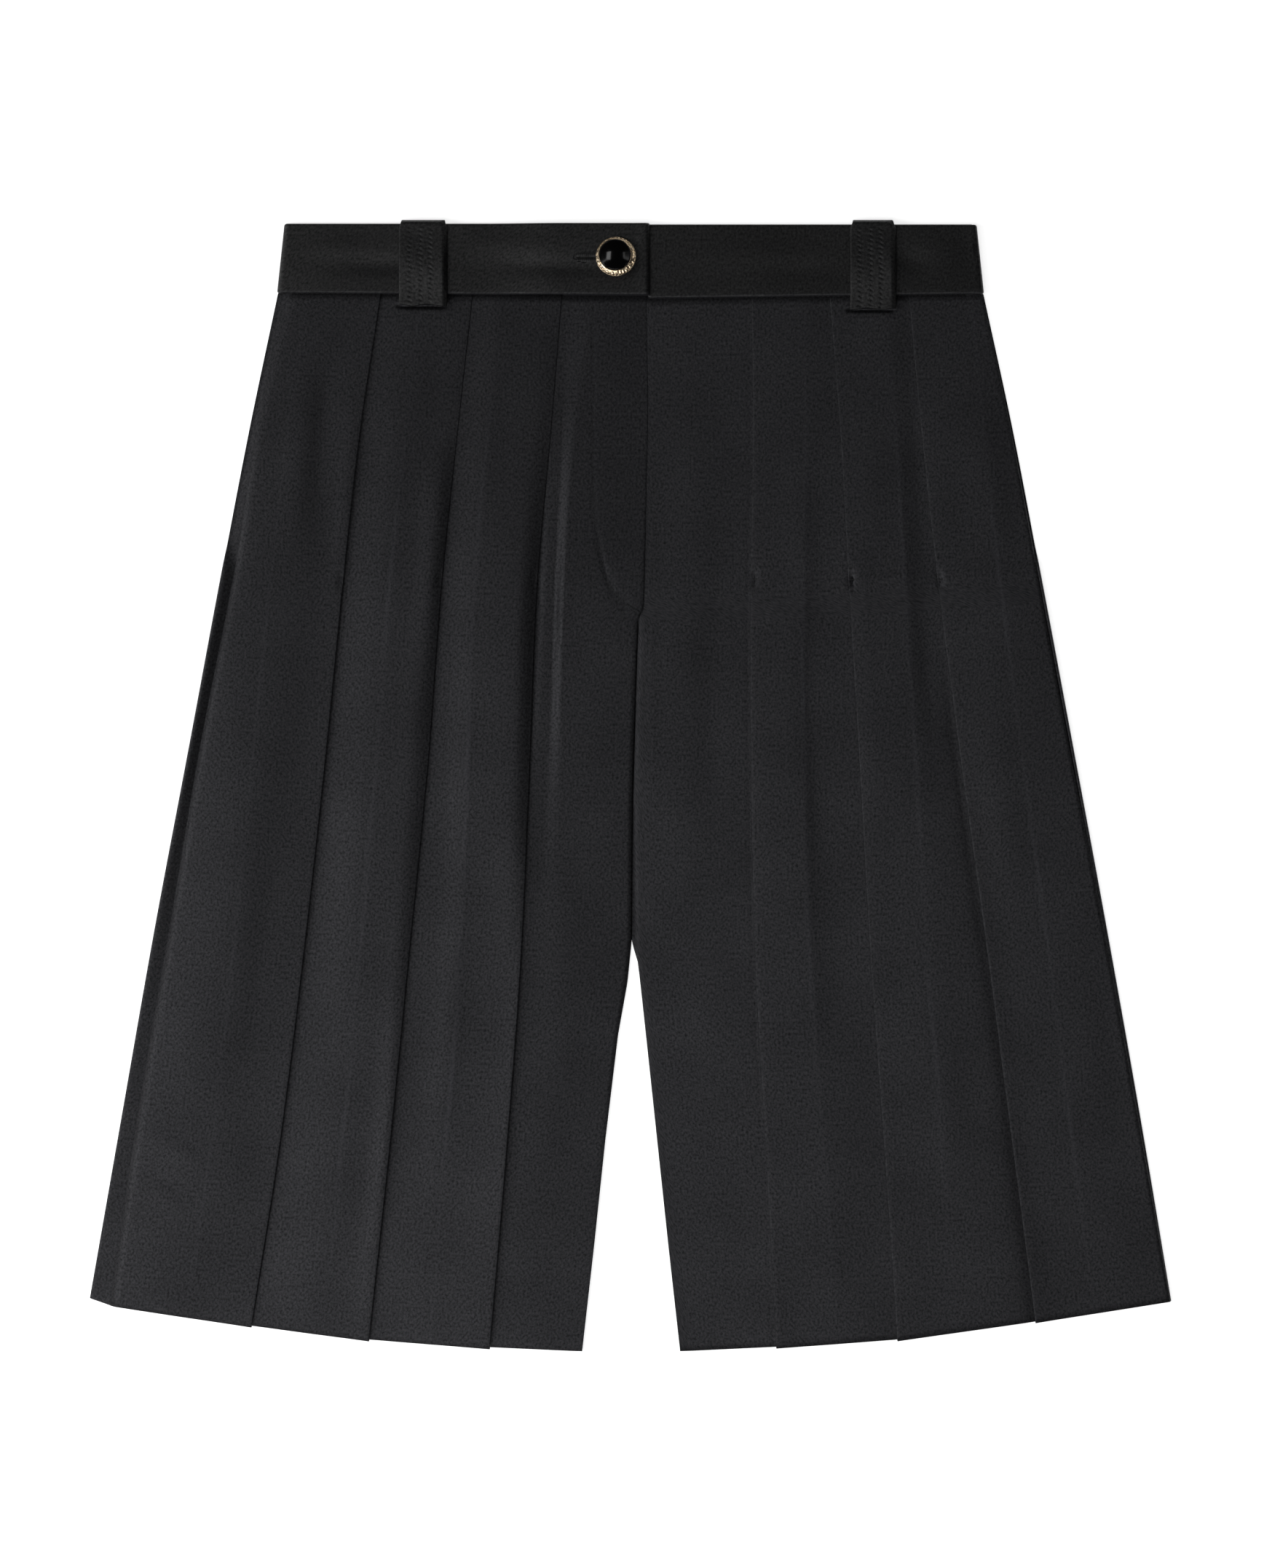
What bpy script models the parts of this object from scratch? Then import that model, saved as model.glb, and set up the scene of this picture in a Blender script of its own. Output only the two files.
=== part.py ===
"""Pleated shorts of black cotton satin, laid flat on their back with the front up.

The frame has +X towards the viewer's right, which is the wearer's left leg, +Y towards the waist
and +Z up off the surface that the shorts lie on. The origin is the middle of the bounding box's
underside. Sizes are in millimetres, and MM turns them into Blender's metres.

Each leg is a front, with three knife pleats folded towards the centre and a fourth fold at the
side, and a back, which lies on the surface and turns up over the side. A front's section is one
line of cloth, folded in Z shapes, at every row from the waist seam down to the hem. The line is
worked out from the places of the fold edges, then thickened into a closed wall. A place across
the garment is counted outwards from the centre line, so that both legs share the same functions.
"""

from collections import namedtuple

import bpy
import numpy as np

MM = 0.001

# Overall sizes
LENGTH = 575.4  # from the top of the belt loops to the lowest point of the hem
LOOP_STAND = 1.9  # how far a belt loop stands over the band's top edge
BAND_HEIGHT = 37.0
TOP = LENGTH / 2
WAIST_SEAM = TOP - LOOP_STAND - BAND_HEIGHT
HEM = -LENGTH / 2

# Cloth in layers: a layer's height is that of the middle of its wall
WALL = 1.0
GAP = 0.3
LAYER = WALL + GAP
FLOOR_LAYER, LOW, RETURN, HIGH = (WALL / 2 + LAYER * step for step in range(4))
FOLD_REACH = LAYER / 2 + WALL / 2  # from a fold's middle to its outer edge
PLEAT_DEPTH = 28.0
HEM_STEP = 0.7  # what lies under a fold ends this much higher at the hem

# Seven levels down a leg, as shares of the way from the waist seam to the hem
LEVELS = np.array((0.0, 0.13, 0.27, 0.45, 0.63, 0.82, 1.0))
Line = namedtuple("Line", "waist hip stitch_end crotch thigh mid_leg hem hem_rise")
Leg = namedtuple("Leg", "side outline side_fold pleats")

# Where each edge lies at the levels, and how far the hem rises there above its lowest point
RIGHT = Leg(
    side=-1,
    outline=Line(179.6, 193.6, 207.4, 224.6, 242.0, 259.1, 275.2, 27.0),
    side_fold=Line(173.0, 189.4, 201.1, 219.1, 234.6, 251.2, 264.6, 23.3),
    pleats=(
        Line(126.7, 137.0, 145.3, 154.8, 165.3, 177.8, 192.6, 12.2),
        Line(80.1, 87.7, 95.5, 102.9, 112.3, 122.4, 132.8, 5.2),
        Line(34.7, 40.4, 47.2, 51.2, 55.5, 63.1, 71.4, 1.3),
    ),
)
LEFT = Leg(
    side=1,
    outline=Line(179.8, 194.2, 208.0, 225.3, 242.4, 259.7, 275.2, 25.5),
    side_fold=Line(179.0, 193.0, 206.4, 223.4, 240.8, 258.4, 274.6, 25.3),
    pleats=(
        Line(141.3, 147.8, 155.6, 167.6, 180.6, 193.6, 205.8, 14.4),
        Line(101.1, 106.6, 110.7, 116.4, 121.8, 129.0, 135.6, 5.2),
        Line(61.6, 62.3, 61.0, 61.2, 63.2, 68.9, 74.0, 1.5),
    ),
)

# The same levels for what all the folds share
SIDE_DEPTH = (8.0, 14.0, 20.0, 26.0, 28.0, 28.0, 28.0)  # how far the cloth under the side fold runs in
FOLD_LIFT = (0.0, 0.2, 0.5, 1.5, 1.5, 1.0, 0.4)  # how far a pleat's edge springs up
CROWN = (0.0, 0.4, 0.8, 1.3, 1.4, 1.3, 1.0)  # how far a panel bulges between its edges

# Inner edges of the fronts: the fly, then the rise, then the inseam. A right edge under 0 is past
# the centre line, and the left front's edge under 0 is the underlap of the fly.
Inner = namedtuple("Inner", "share right left")
INNER_EDGES = (
    Inner(0.000, -8.1, -18.0),
    Inner(0.112, -8.8, -18.0),
    Inner(0.285, -6.9, -17.0),
    Inner(0.297, -6.7, -6.0),
    Inner(0.307, -3.7, 4.1),
    Inner(0.371, -2.6, 3.0),
    Inner(0.475, -1.1, 1.5),
    Inner(0.609, -0.7, 2.2),
    Inner(0.650, 1.5, 4.9),
    Inner(0.700, 6.3, 7.8),
    Inner(0.800, 12.8, 13.5),
    Inner(0.900, 18.5, 19.2),
    Inner(1.000, 24.6, 25.2),
)
FLY_END = 0.307
FLY_FALL = 0.05  # the share of the leg in which the cloth over the fly comes down to the rise
CLIMB_SHARE = 0.3  # the part of the panel beside the fly in which it climbs on to the underlap
CREST_SHARE = 0.27  # the ridge of that panel, between the inner pleat and the edge
CREST_HEIGHT = (0.6, 1.1, 1.5, 1.3, 1.1, 0.9, 0.7)
PLAIN_EDGE = 6.0  # the width along the inner edge that lies flat
PAST_OVERLAP = 2.0  # the crest ends at least this far out from the overlap's end
BACK_INSET = 0.5  # a back's edge lies this far inside the edge of the front over it
LEGS_PART = (0.45, 0.609)  # between these shares the backs draw apart, from a seam to two inseams

# Rows of the legs' sections
ROWS = np.array((0, 0.06, 0.13, 0.2, 0.27, 0.297, 0.307, 0.36, 0.41, 0.475, 0.54, 0.609, 0.65,
                 0.7, 0.8, 0.9, 1))

# Waistband: one doubled strip round the waist, from the overlap's end to the underlap's end
BAND_WALL = 2.4
BAND_LAYER = BAND_WALL + GAP
BAND_BACK = BAND_WALL / 2
BAND_FRONT = BAND_BACK + BAND_LAYER
BAND_OVER = BAND_FRONT + BAND_LAYER
BAND_HALF_TOP = 176.0
BAND_HALF_SEAM = 179.8
OVERLAP_END = 8.1
UNDERLAP_END = -34.0
UNDERLAP_STEP = 9.0  # just clear of the overlap's end
OVERLAP_RISE = (-75.0, -36.0)  # where the right end climbs on to the underlap
LEFT_SEAM_DROP = 1.5  # the left half's lower edge hangs by this much at the centre
RIGHT_SEAM_RISE = 0.7
BAND_EDGE = 0.8  # width of the rounded edges along the band
EDGE_SHARE = 0.6  # of the band's thickness, at its very edge

# Belt loops: flat strips over the band
Loop = namedtuple("Loop", "name middle width top_width hang")
LOOPS = (
    Loop("belt_loop_right", -106.7, 21.8, 19.4, 4.9),
    Loop("belt_loop_left", 121.7, 20.7, 17.6, 6.4),
)
LOOP_WALL = 1.2
LOOP_ARCH = 1.4  # how far a loop stands off the middle of the band
LOOP_TURN = 2.2  # the radius in which a loop turns over the band's top edge
LOOP_END = 3.4  # height at which a loop ends behind the band
LOOP_NARROWS = 6.0  # the length at a loop's top in which it narrows

# Button: a metal bezel on a shank, with a black cabochon in it
BUTTON_AT = (-7.4, 269.2)
BEZEL_RADIUS = 10.25
CABOCHON_RADIUS = 7.45
SEAT_RADIUS = CABOCHON_RADIUS + GAP
SEAT_HEIGHT = 1.0
GIRDLE_HEIGHT = 2.3  # where the cabochon's sides turn into its dome
DOME_HEIGHT = 4.7
SHANK_RADIUS = 1.5
SHANK_LENGTH = 2.6
BUTTON_BASE = BAND_OVER + BAND_WALL / 2 + GAP
BUTTON_SIDES = 36
# The bezel's outer skin, as radius and height over its base
BEZEL_RIM = (
    (8.4, 0.0), (9.7, 0.5), (BEZEL_RADIUS, 1.5), (10.0, 2.5), (9.1, 3.1), (8.3, 3.0), (SEAT_RADIUS, 2.4),
)
SLOT = (-29.6, -5.4)  # the buttonhole, from its far end to past the shank
SLOT_WIDTH = 1.2
SHANK_HOLE_RADIUS = 1.9
SHANK_HOLE_SIDES = 16


def smooth(share):
    """A soft step from 0 to 1, level at both ends."""
    share = np.clip(share, 0, 1)
    return share * share * (3 - 2 * share)


def place(levels, share):
    """The smooth curve through one value for each level, read at a share. It is a cubic between each
    two levels, and its slope at a level comes from the values on both sides."""
    levels = np.asarray(levels, dtype=float)
    slopes = np.gradient(levels, LEVELS)
    first = np.clip(np.searchsorted(LEVELS, share, side="right") - 1, 0, len(LEVELS) - 2)
    span = LEVELS[first + 1] - LEVELS[first]
    way = (share - LEVELS[first]) / span
    straight = levels[first] + (levels[first + 1] - levels[first]) * smooth(way)
    bend = slopes[first] * way * (1 - way) ** 2 - slopes[first + 1] * way**2 * (1 - way)
    return straight + span * bend


def edge(line, share):
    return place(line[: len(LEVELS)], share)


def inner_edge(leg, share):
    shares, right, left = zip(*INNER_EDGES)
    return np.interp(share, shares, right if leg is RIGHT else left)


def waist_seam(side, x):
    """The lower edge of the band. The left half hangs at the centre, and its underlap is stepped
    up to the height of the right half."""
    if side == RIGHT.side:
        return np.full_like(x, WAIST_SEAM + RIGHT_SEAM_RISE)
    hanging = -LEFT_SEAM_DROP * (1 - x / BAND_HALF_SEAM)
    return WAIST_SEAM + np.where(x < UNDERLAP_STEP, RIGHT_SEAM_RISE, hanging)


def hem_height(leg, out):
    """The hem's place along Y, straight between the edges of the folds."""
    lines = (*leg.pleats[::-1], leg.side_fold, leg.outline)
    places = [inner_edge(leg, LEVELS[-1]), *(line.hem for line in lines)]
    return HEM + np.interp(out, places, [0.0, *(line.hem_rise for line in lines)])


class Section:
    """A line of cloth at every row, from its first edge to its last, as runs joined end to end.

    Each run holds, for every row, places outwards from the centre line, heights of the wall's
    middle, and how much shorter the cloth is at the hem.
    """

    def __init__(self, rows):
        self.rows = rows
        self.runs = []

    def run(self, start, end, height, steps, short=0.0):
        """Cloth from one place to another. The height is a function of the share on the way."""
        on_the_way = np.linspace(0, 1, steps + 1)[None, :]
        start = np.broadcast_to(start, self.rows.shape)[:, None]
        end = np.broadcast_to(end, self.rows.shape)[:, None]
        out = start + (end - start) * on_the_way
        self.add(out, height(on_the_way), short)

    def fold(self, middle, low, high, facing, upwards, short=0.0, steps=3):
        """Half a turn between two layers, round a middle, bulging the way that it faces."""
        turn = np.linspace(-0.5, 0.5, steps + 1)[None, 1:-1] * np.pi
        turn = turn if upwards else turn[:, ::-1]
        low = np.broadcast_to(low, self.rows.shape)[:, None]
        high = np.broadcast_to(high, self.rows.shape)[:, None]
        out = middle[:, None] + facing * (LAYER / 2) * np.cos(turn)
        self.add(out, (low + high) / 2 + (high - low) / 2 * np.sin(turn), short)

    def add(self, out, height, short):
        shape = (len(self.rows), out.shape[1])
        self.runs.append([np.broadcast_to(part, shape) for part in (out, height, short)])

    def joined(self):
        return [np.concatenate(part, axis=1) for part in zip(*self.runs)]


def laid(leg, rows, section):
    """The section's points in the frame, each row on its way from the waist seam to the hem."""
    out, height, short = section.joined()
    top = waist_seam(leg.side, leg.side * out[0]) - GAP
    bottom = hem_height(leg, out[-1]) + short[-1]
    along = top + (bottom - top) * rows[:, None]
    return np.stack([leg.side * out, along, height], axis=-1)


def front_section(leg, rows):
    """The front's line of cloth: from under the side fold, over the side panel, then through each
    pleat's edge, its return and its under-fold on to the next panel, and so to the inner edge."""
    section = Section(rows)
    side_fold = edge(leg.side_fold, rows) - FOLD_REACH
    folds = [edge(line, rows) for line in leg.pleats]
    lift = place(FOLD_LIFT, rows)
    crown = place(CROWN, rows)[:, None]
    lifted = lift[:, None]

    section.run(side_fold - place(SIDE_DEPTH, rows), side_fold, lambda way: RETURN, 1, HEM_STEP)
    section.fold(side_fold, RETURN, HIGH, 1, upwards=True)
    section.run(
        side_fold,
        folds[0] + FOLD_REACH,
        lambda way: HIGH + crown * np.sin(np.pi * way) ** 2 + lifted * smooth(2 * way - 1),
        4,
    )
    for fold, after in zip(folds, folds[1:] + [None]):
        section.fold(fold + FOLD_REACH, RETURN + lift, HIGH + lift, -1, upwards=False)
        under = fold + PLEAT_DEPTH - FOLD_REACH
        section.run(fold + FOLD_REACH, under, lambda way: RETURN + lifted * (1 - way), 1, HEM_STEP)
        section.fold(under, LOW, RETURN, 1, upwards=False, short=HEM_STEP)
        section.run(under, fold + FOLD_REACH, lambda way: LOW, 1, HEM_STEP)
        if after is None:
            last_panel(leg, rows, section, fold)
            continue
        climb = ((fold - after - PLEAT_DEPTH) / (fold - after - FOLD_REACH))[:, None]
        section.run(
            fold,
            after + FOLD_REACH,
            lambda way: LOW
            + (HIGH - LOW) * smooth(way / climb)
            + crown * np.sin(np.pi * way) ** 2
            + lifted * np.clip((way - climb) / (1 - climb), 0, 1),
            6,
            HEM_STEP * (1 - np.linspace(0, 1, 7)),
        )
    return section


def last_panel(leg, rows, section, fold):
    """From the inner pleat to the centre. It has a ridge beside the pleat, and the right one runs
    over the fly's underlap, then comes down to the rise."""
    inner = inner_edge(leg, rows)
    flat = np.maximum(inner + PLAIN_EDGE, OVERLAP_END + PAST_OVERLAP)
    over_fly = 1 - smooth((rows - FLY_END) / FLY_FALL)
    climb = (over_fly * LAYER if leg is RIGHT else 0 * rows)[:, None]
    crest = place(CREST_HEIGHT, rows)[:, None]
    steps = 7
    section.run(
        fold,
        flat,
        lambda way: LOW
        + climb * smooth(way / CLIMB_SHARE)
        + crest * smooth(way / CREST_SHARE) * (1 - smooth((way - CREST_SHARE) / (1 - CREST_SHARE))),
        steps,
        HEM_STEP * (1 - np.linspace(0, 1, steps + 1)),
    )
    section.run(flat, inner, lambda way: LOW + climb, 2)


def back_section(leg, rows):
    """The back's line of cloth: along the surface from its inner edge, up round the side, and in
    under the front's side fold."""
    section = Section(rows)
    outline = edge(leg.outline, rows) - FOLD_REACH
    wrap_end = edge(leg.side_fold, rows) - FOLD_REACH - place(SIDE_DEPTH, rows)
    parted = smooth((rows - LEGS_PART[0]) / (LEGS_PART[1] - LEGS_PART[0]))
    inner = GAP / 2 * (1 - parted) + (np.maximum(inner_edge(leg, rows), 0) + BACK_INSET) * parted
    steps = 6
    short = np.append(np.full(steps, HEM_STEP), 0.0)
    section.run(inner, outline, lambda way: FLOOR_LAYER, steps, short)
    section.fold(outline, FLOOR_LAYER, LOW, 1, upwards=True)
    section.run(outline, wrap_end, lambda way: LOW, 2)
    return section


def wall(name, middle, half, material):
    """A closed wall of cloth. The grid `middle`, of rows by stations, is moved by `half` a wall to
    each side, square to its line of stations, and the two sheets are joined along the borders."""
    rows, stations = middle.shape[:2]
    along = np.gradient(middle, axis=1)
    down = np.gradient(middle, axis=0)
    square = np.cross(along, down)
    square /= np.linalg.norm(square, axis=-1, keepdims=True)
    moved = square * np.broadcast_to(half, (rows, stations))[..., None]
    points = np.concatenate([middle + moved, middle - moved]).reshape(-1, 3)

    index = np.arange(rows * stations).reshape(rows, stations)
    sheet = np.stack([index[:-1, :-1], index[:-1, 1:], index[1:, 1:], index[1:, :-1]], axis=-1)
    sheet = sheet.reshape(-1, 4)
    ring = np.concatenate([index[0, :-1], index[:-1, -1], index[-1, :0:-1], index[:0:-1, 0]])
    after = np.roll(ring, -1)
    other = rows * stations
    border = np.stack([ring, ring + other, after + other, after], axis=-1)
    faces = np.concatenate([sheet, sheet[:, ::-1] + other, border])
    return solid(name, points, faces, material)


def solid(name, points, faces, material):
    """A mesh object from points in millimetres, its faces turned outwards."""
    corners = points[faces[:, :3]]
    inside_out = np.linalg.det(corners - points.mean(axis=0)).sum() < 0
    mesh = bpy.data.meshes.new(name)
    mesh.from_pydata((points * MM).tolist(), [], (faces[:, ::-1] if inside_out else faces).tolist())
    mesh.validate()
    mesh.materials.append(material)
    made = bpy.data.objects.new(name, mesh)
    bpy.context.scene.collection.objects.link(made)
    return made


def waistband(material):
    """The band as a grid: stations along the strip, rows from its lower to its upper edge. From the
    overlap's end it runs over the right front, round the side, along the back, round the other
    side and over the left front to the underlap's end."""
    reach = BAND_LAYER / 2 + BAND_WALL / 2
    side = BAND_HALF_SEAM - reach
    turn = np.linspace(-0.5, 0.5, 7)[1:-1] * np.pi
    middle = (BAND_BACK + BAND_FRONT) / 2
    foot, crown = OVERLAP_RISE
    right = np.concatenate([np.linspace(OVERLAP_END, crown, 5), np.linspace(crown, -side, 9)[1:]])
    over_fly = np.linspace(UNDERLAP_STEP - GAP, UNDERLAP_END, 4)
    left = np.concatenate([np.linspace(side, UNDERLAP_STEP + GAP, 8), over_fly])
    behind = np.linspace(-side, side, 9)
    bulge = side + BAND_LAYER / 2 * np.cos(turn)
    x = np.concatenate([right, -bulge, behind, bulge, left])
    height = np.concatenate([
        BAND_FRONT + (BAND_OVER - BAND_FRONT) * smooth((right - foot) / (crown - foot)),
        middle - BAND_LAYER / 2 * np.sin(turn),
        np.full_like(behind, BAND_BACK),
        middle + BAND_LAYER / 2 * np.sin(turn),
        np.full_like(left, BAND_FRONT),
    ])
    on_left = np.arange(len(x)) >= len(x) - len(left) - len(turn)
    lower = np.where(on_left, waist_seam(LEFT.side, x), waist_seam(RIGHT.side, x))
    upper = np.full_like(x, WAIST_SEAM + BAND_HEIGHT)
    upper[on_left] -= RIGHT_SEAM_RISE
    up = np.array([0, BAND_EDGE, BAND_HEIGHT / 2, BAND_HEIGHT - BAND_EDGE, BAND_HEIGHT])
    way = up[:, None] / BAND_HEIGHT
    taper = 1 + (BAND_HALF_TOP / BAND_HALF_SEAM - 1) * way
    grid = np.stack([x * taper, lower + (upper - lower) * way, height + 0 * way], axis=-1)
    half = BAND_WALL / 2 * np.array([EDGE_SHARE, 1, 1, 1, EDGE_SHARE])[:, None]
    return wall("waistband", grid, half, material)


def cut(target, cutter):
    cutter.hide_render = True
    cutter.display_type = "WIRE"
    difference = target.modifiers.new("cut " + cutter.name, "BOOLEAN")
    difference.operation = "DIFFERENCE"
    difference.object = cutter


def buttonhole(band, material):
    """The slit through the overlap, opened round at the shank."""
    low, high = BAND_OVER - BAND_WALL / 2 - GAP / 2, BAND_OVER + BAND_WALL
    x, y = BUTTON_AT
    corners = np.array([
        (along, y + across * SLOT_WIDTH / 2, height)
        for along in SLOT for across in (-1, 1) for height in (low, high)
    ])
    ends = [(0, 1, 3, 2), (4, 6, 7, 5)]
    sides = [(0, 4, 5, 1), (2, 3, 7, 6), (0, 2, 6, 4), (1, 5, 7, 3)]
    cut(band, solid("buttonhole_slit", corners, np.array(ends + sides), material))
    profile = [(0, low), (SHANK_HOLE_RADIUS, low), (SHANK_HOLE_RADIUS, high), (0, high)]
    cut(band, turned("buttonhole_eye", profile, (x, y), SHANK_HOLE_SIDES, material))


def turned(name, profile, centre, sides, material):
    """A solid turned about an upright axis, from (radius, height) pairs that start and end on it."""
    angle = np.linspace(0, 2 * np.pi, sides, endpoint=False)[:, None]
    radius, height = np.array(profile[1:-1]).T
    ring = np.stack([
        centre[0] + radius * np.cos(angle),
        centre[1] + radius * np.sin(angle),
        height + 0 * angle,
    ], axis=-1)
    ends = [(*centre, profile[0][1]), (*centre, profile[-1][1])]
    points = np.concatenate([ring.reshape(-1, 3), ends])
    index = np.arange(ring.shape[0] * ring.shape[1]).reshape(ring.shape[:2])
    after = np.roll(index, -1, axis=0)
    skin = np.stack([index[:, :-1], after[:, :-1], after[:, 1:], index[:, 1:]], axis=-1)
    first, last = len(points) - 2, len(points) - 1
    caps = np.concatenate([
        np.stack([np.full(sides, first), after[:, 0], index[:, 0]], axis=-1),
        np.stack([np.full(sides, last), index[:, -1], after[:, -1]], axis=-1),
    ])
    mesh = bpy.data.meshes.new(name)
    mesh.from_pydata((points * MM).tolist(), [], skin.reshape(-1, 4).tolist() + caps.tolist())
    mesh.materials.append(material)
    mesh.shade_smooth()
    made = bpy.data.objects.new(name, mesh)
    bpy.context.scene.collection.objects.link(made)
    return made


def button(metal, black):
    """The bezel with its rolled rim and shank in one turned piece, and the domed cabochon."""
    shank = [(0, -SHANK_LENGTH), (SHANK_RADIUS, -SHANK_LENGTH), (SHANK_RADIUS, 0)]
    seat = [(SEAT_RADIUS, SEAT_HEIGHT), (0, SEAT_HEIGHT)]
    lean = np.linspace(0, np.pi / 2, 6)
    dome_radius = CABOCHON_RADIUS * np.cos(lean)
    dome_height = GIRDLE_HEIGHT + (DOME_HEIGHT - GIRDLE_HEIGHT) * np.sin(lean)
    base = [(0, SEAT_HEIGHT + GAP), (CABOCHON_RADIUS, SEAT_HEIGHT + GAP)]
    dome = [*zip(dome_radius[:-1], dome_height), (0, DOME_HEIGHT)]
    for name, profile, material in (
        ("button_bezel", [*shank, *BEZEL_RIM, *seat], metal),
        ("button_cabochon", [*base, *dome], black),
    ):
        placed = [(radius, BUTTON_BASE + up) for radius, up in profile]
        turned(name, placed, BUTTON_AT, BUTTON_SIDES, material)


def belt_loop(loop, material):
    """A strip up the front of the band, bowed off its middle, and a quarter turn over its top."""
    under = BAND_FRONT + BAND_WALL / 2 + GAP + LOOP_WALL / 2
    start = WAIST_SEAM - loop.hang
    top = TOP - LOOP_WALL / 2
    way = np.linspace(0, 1, 9)
    climb = start + (top - LOOP_TURN - start) * way
    bow = under + LOOP_ARCH * np.sin(np.pi * way) ** 2
    turn = np.linspace(0, np.pi / 2, 5)[1:]
    over = top - LOOP_TURN + LOOP_TURN * np.sin(turn)
    down = LOOP_END + (under - LOOP_END) * np.cos(turn)
    along = np.concatenate([climb, over])
    height = np.concatenate([bow, down])
    narrowing = smooth((along - TOP + LOOP_NARROWS) / LOOP_NARROWS)
    width = loop.width + (loop.top_width - loop.width) * narrowing
    across = np.array([-0.5, 0, 0.5])[:, None]
    grid = np.stack([loop.middle + across * width, along + 0 * across, height + 0 * across], axis=-1)
    return wall(loop.name, grid, LOOP_WALL / 2, material)


def finish(name, colour, roughness, metallic=0.0):
    """A Principled material from a linear colour."""
    material = bpy.data.materials.new(name)
    material.use_nodes = True
    shader = material.node_tree.nodes["Principled BSDF"]
    shader.inputs["Base Color"].default_value = (*colour, 1)
    shader.inputs["Roughness"].default_value = roughness
    shader.inputs["Metallic"].default_value = metallic
    return material


def legs():
    for side, leg in (("right", RIGHT), ("left", LEFT)):
        front = finish(f"front cotton satin, {side}", (0.012, 0.012, 0.013), 0.75)
        back = finish(f"back cotton satin, {side}", (0.011, 0.011, 0.012), 0.75)
        wall(f"front_leg_{side}", laid(leg, ROWS, front_section(leg, ROWS)), WALL / 2, front)
        wall(f"back_leg_{side}", laid(leg, ROWS, back_section(leg, ROWS)), WALL / 2, back)


def main():
    for old in list(bpy.data.objects):
        bpy.data.objects.remove(old, do_unlink=True)
    legs()
    band_cloth = finish("band cotton satin", (0.010, 0.010, 0.011), 0.7)
    buttonhole(waistband(band_cloth), band_cloth)
    for loop in LOOPS:
        belt_loop(loop, finish(loop.name + " cotton satin", (0.013, 0.013, 0.014), 0.8))
    button(
        finish("gold-toned zinc", (0.52, 0.36, 0.16), 0.3, 1.0),
        finish("black glossy resin", (0.004, 0.004, 0.004), 0.08),
    )


main()
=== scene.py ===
"""Pleated black satin shorts laid flat with the front up, seen from straight above.

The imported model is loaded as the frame: +X is the wearer's left, +Y points to the waist and +Z up
off the surface. Lengths in the tables are millimetres, and MM turns them into metres. Each cloth
piece is one line of cloth at every row, folded as it was pressed, thickened into a closed wall.
"""

from collections import namedtuple

import bpy
import numpy as np
from bpy.props import FloatProperty, FloatVectorProperty, PointerProperty
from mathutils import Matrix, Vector
from mathutils.bvhtree import BVHTree


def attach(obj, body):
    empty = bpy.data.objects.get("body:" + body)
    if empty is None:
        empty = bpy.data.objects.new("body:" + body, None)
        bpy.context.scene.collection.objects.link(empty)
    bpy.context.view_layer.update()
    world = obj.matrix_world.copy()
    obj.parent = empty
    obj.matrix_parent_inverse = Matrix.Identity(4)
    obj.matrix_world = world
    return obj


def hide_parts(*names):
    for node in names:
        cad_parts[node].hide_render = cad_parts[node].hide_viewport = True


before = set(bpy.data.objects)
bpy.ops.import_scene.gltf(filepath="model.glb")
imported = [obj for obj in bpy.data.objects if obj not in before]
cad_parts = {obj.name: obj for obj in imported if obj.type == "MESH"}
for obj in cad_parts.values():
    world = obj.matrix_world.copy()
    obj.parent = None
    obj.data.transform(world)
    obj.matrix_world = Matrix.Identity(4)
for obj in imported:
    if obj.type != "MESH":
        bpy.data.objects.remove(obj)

bl_info = {
    "name": "Pleated shorts laid flat",
    "version": (1, 0, 0),
    "blender": (4, 5, 0),
    "location": "3D View > Sidebar > Shorts",
    "description": "Builds pleated satin shorts laid flat, piece by piece, and a stage for them",
    "category": "Add Mesh",
}

MM = 0.001

# Overall sizes
LENGTH = 575.4  # from the top of the belt loops to the lowest point of the hem
BAND_HEIGHT = 37.0
TOP = LENGTH / 2
WAIST_SEAM = TOP - 1.9 - BAND_HEIGHT
HEM = -LENGTH / 2

# Heights of the layers' middles. The cloth is thinner than its solid's wall, so its layers lie
# closer.
GAP = 0.3
SEAM_TUCK = 0.4  # how far the legs reach up under the band's rounded edge
LAYER = 0.6
LOW, RETURN, HIGH = (1.8 + LAYER * step for step in range(3))
PLEAT_DEPTH = 28.0
HEM_STEP = 0.7  # what lies under a fold ends this much higher at the hem

# Seven levels down a leg, as shares of the way from the waist seam to the hem
LEVELS = np.array((0.0, 0.13, 0.27, 0.45, 0.63, 0.82, 1.0))
Line = namedtuple("Line", "waist hip stitch_end crotch thigh mid_leg hem hem_rise")
Pressed = namedtuple("Pressed", "stitch_end hem strength")
Lip = namedtuple("Lip", "height width")
Ridge = namedtuple("Ridge", "height width at")
Climb = namedtuple("Climb", "powers rounding")
Leg = namedtuple(
    "Leg",
    "side outline side_fold pleats pressed rolls roll_widths lifts lift_widths"
    " dips bulge keeps lip nick ridge climbs",
)

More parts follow.
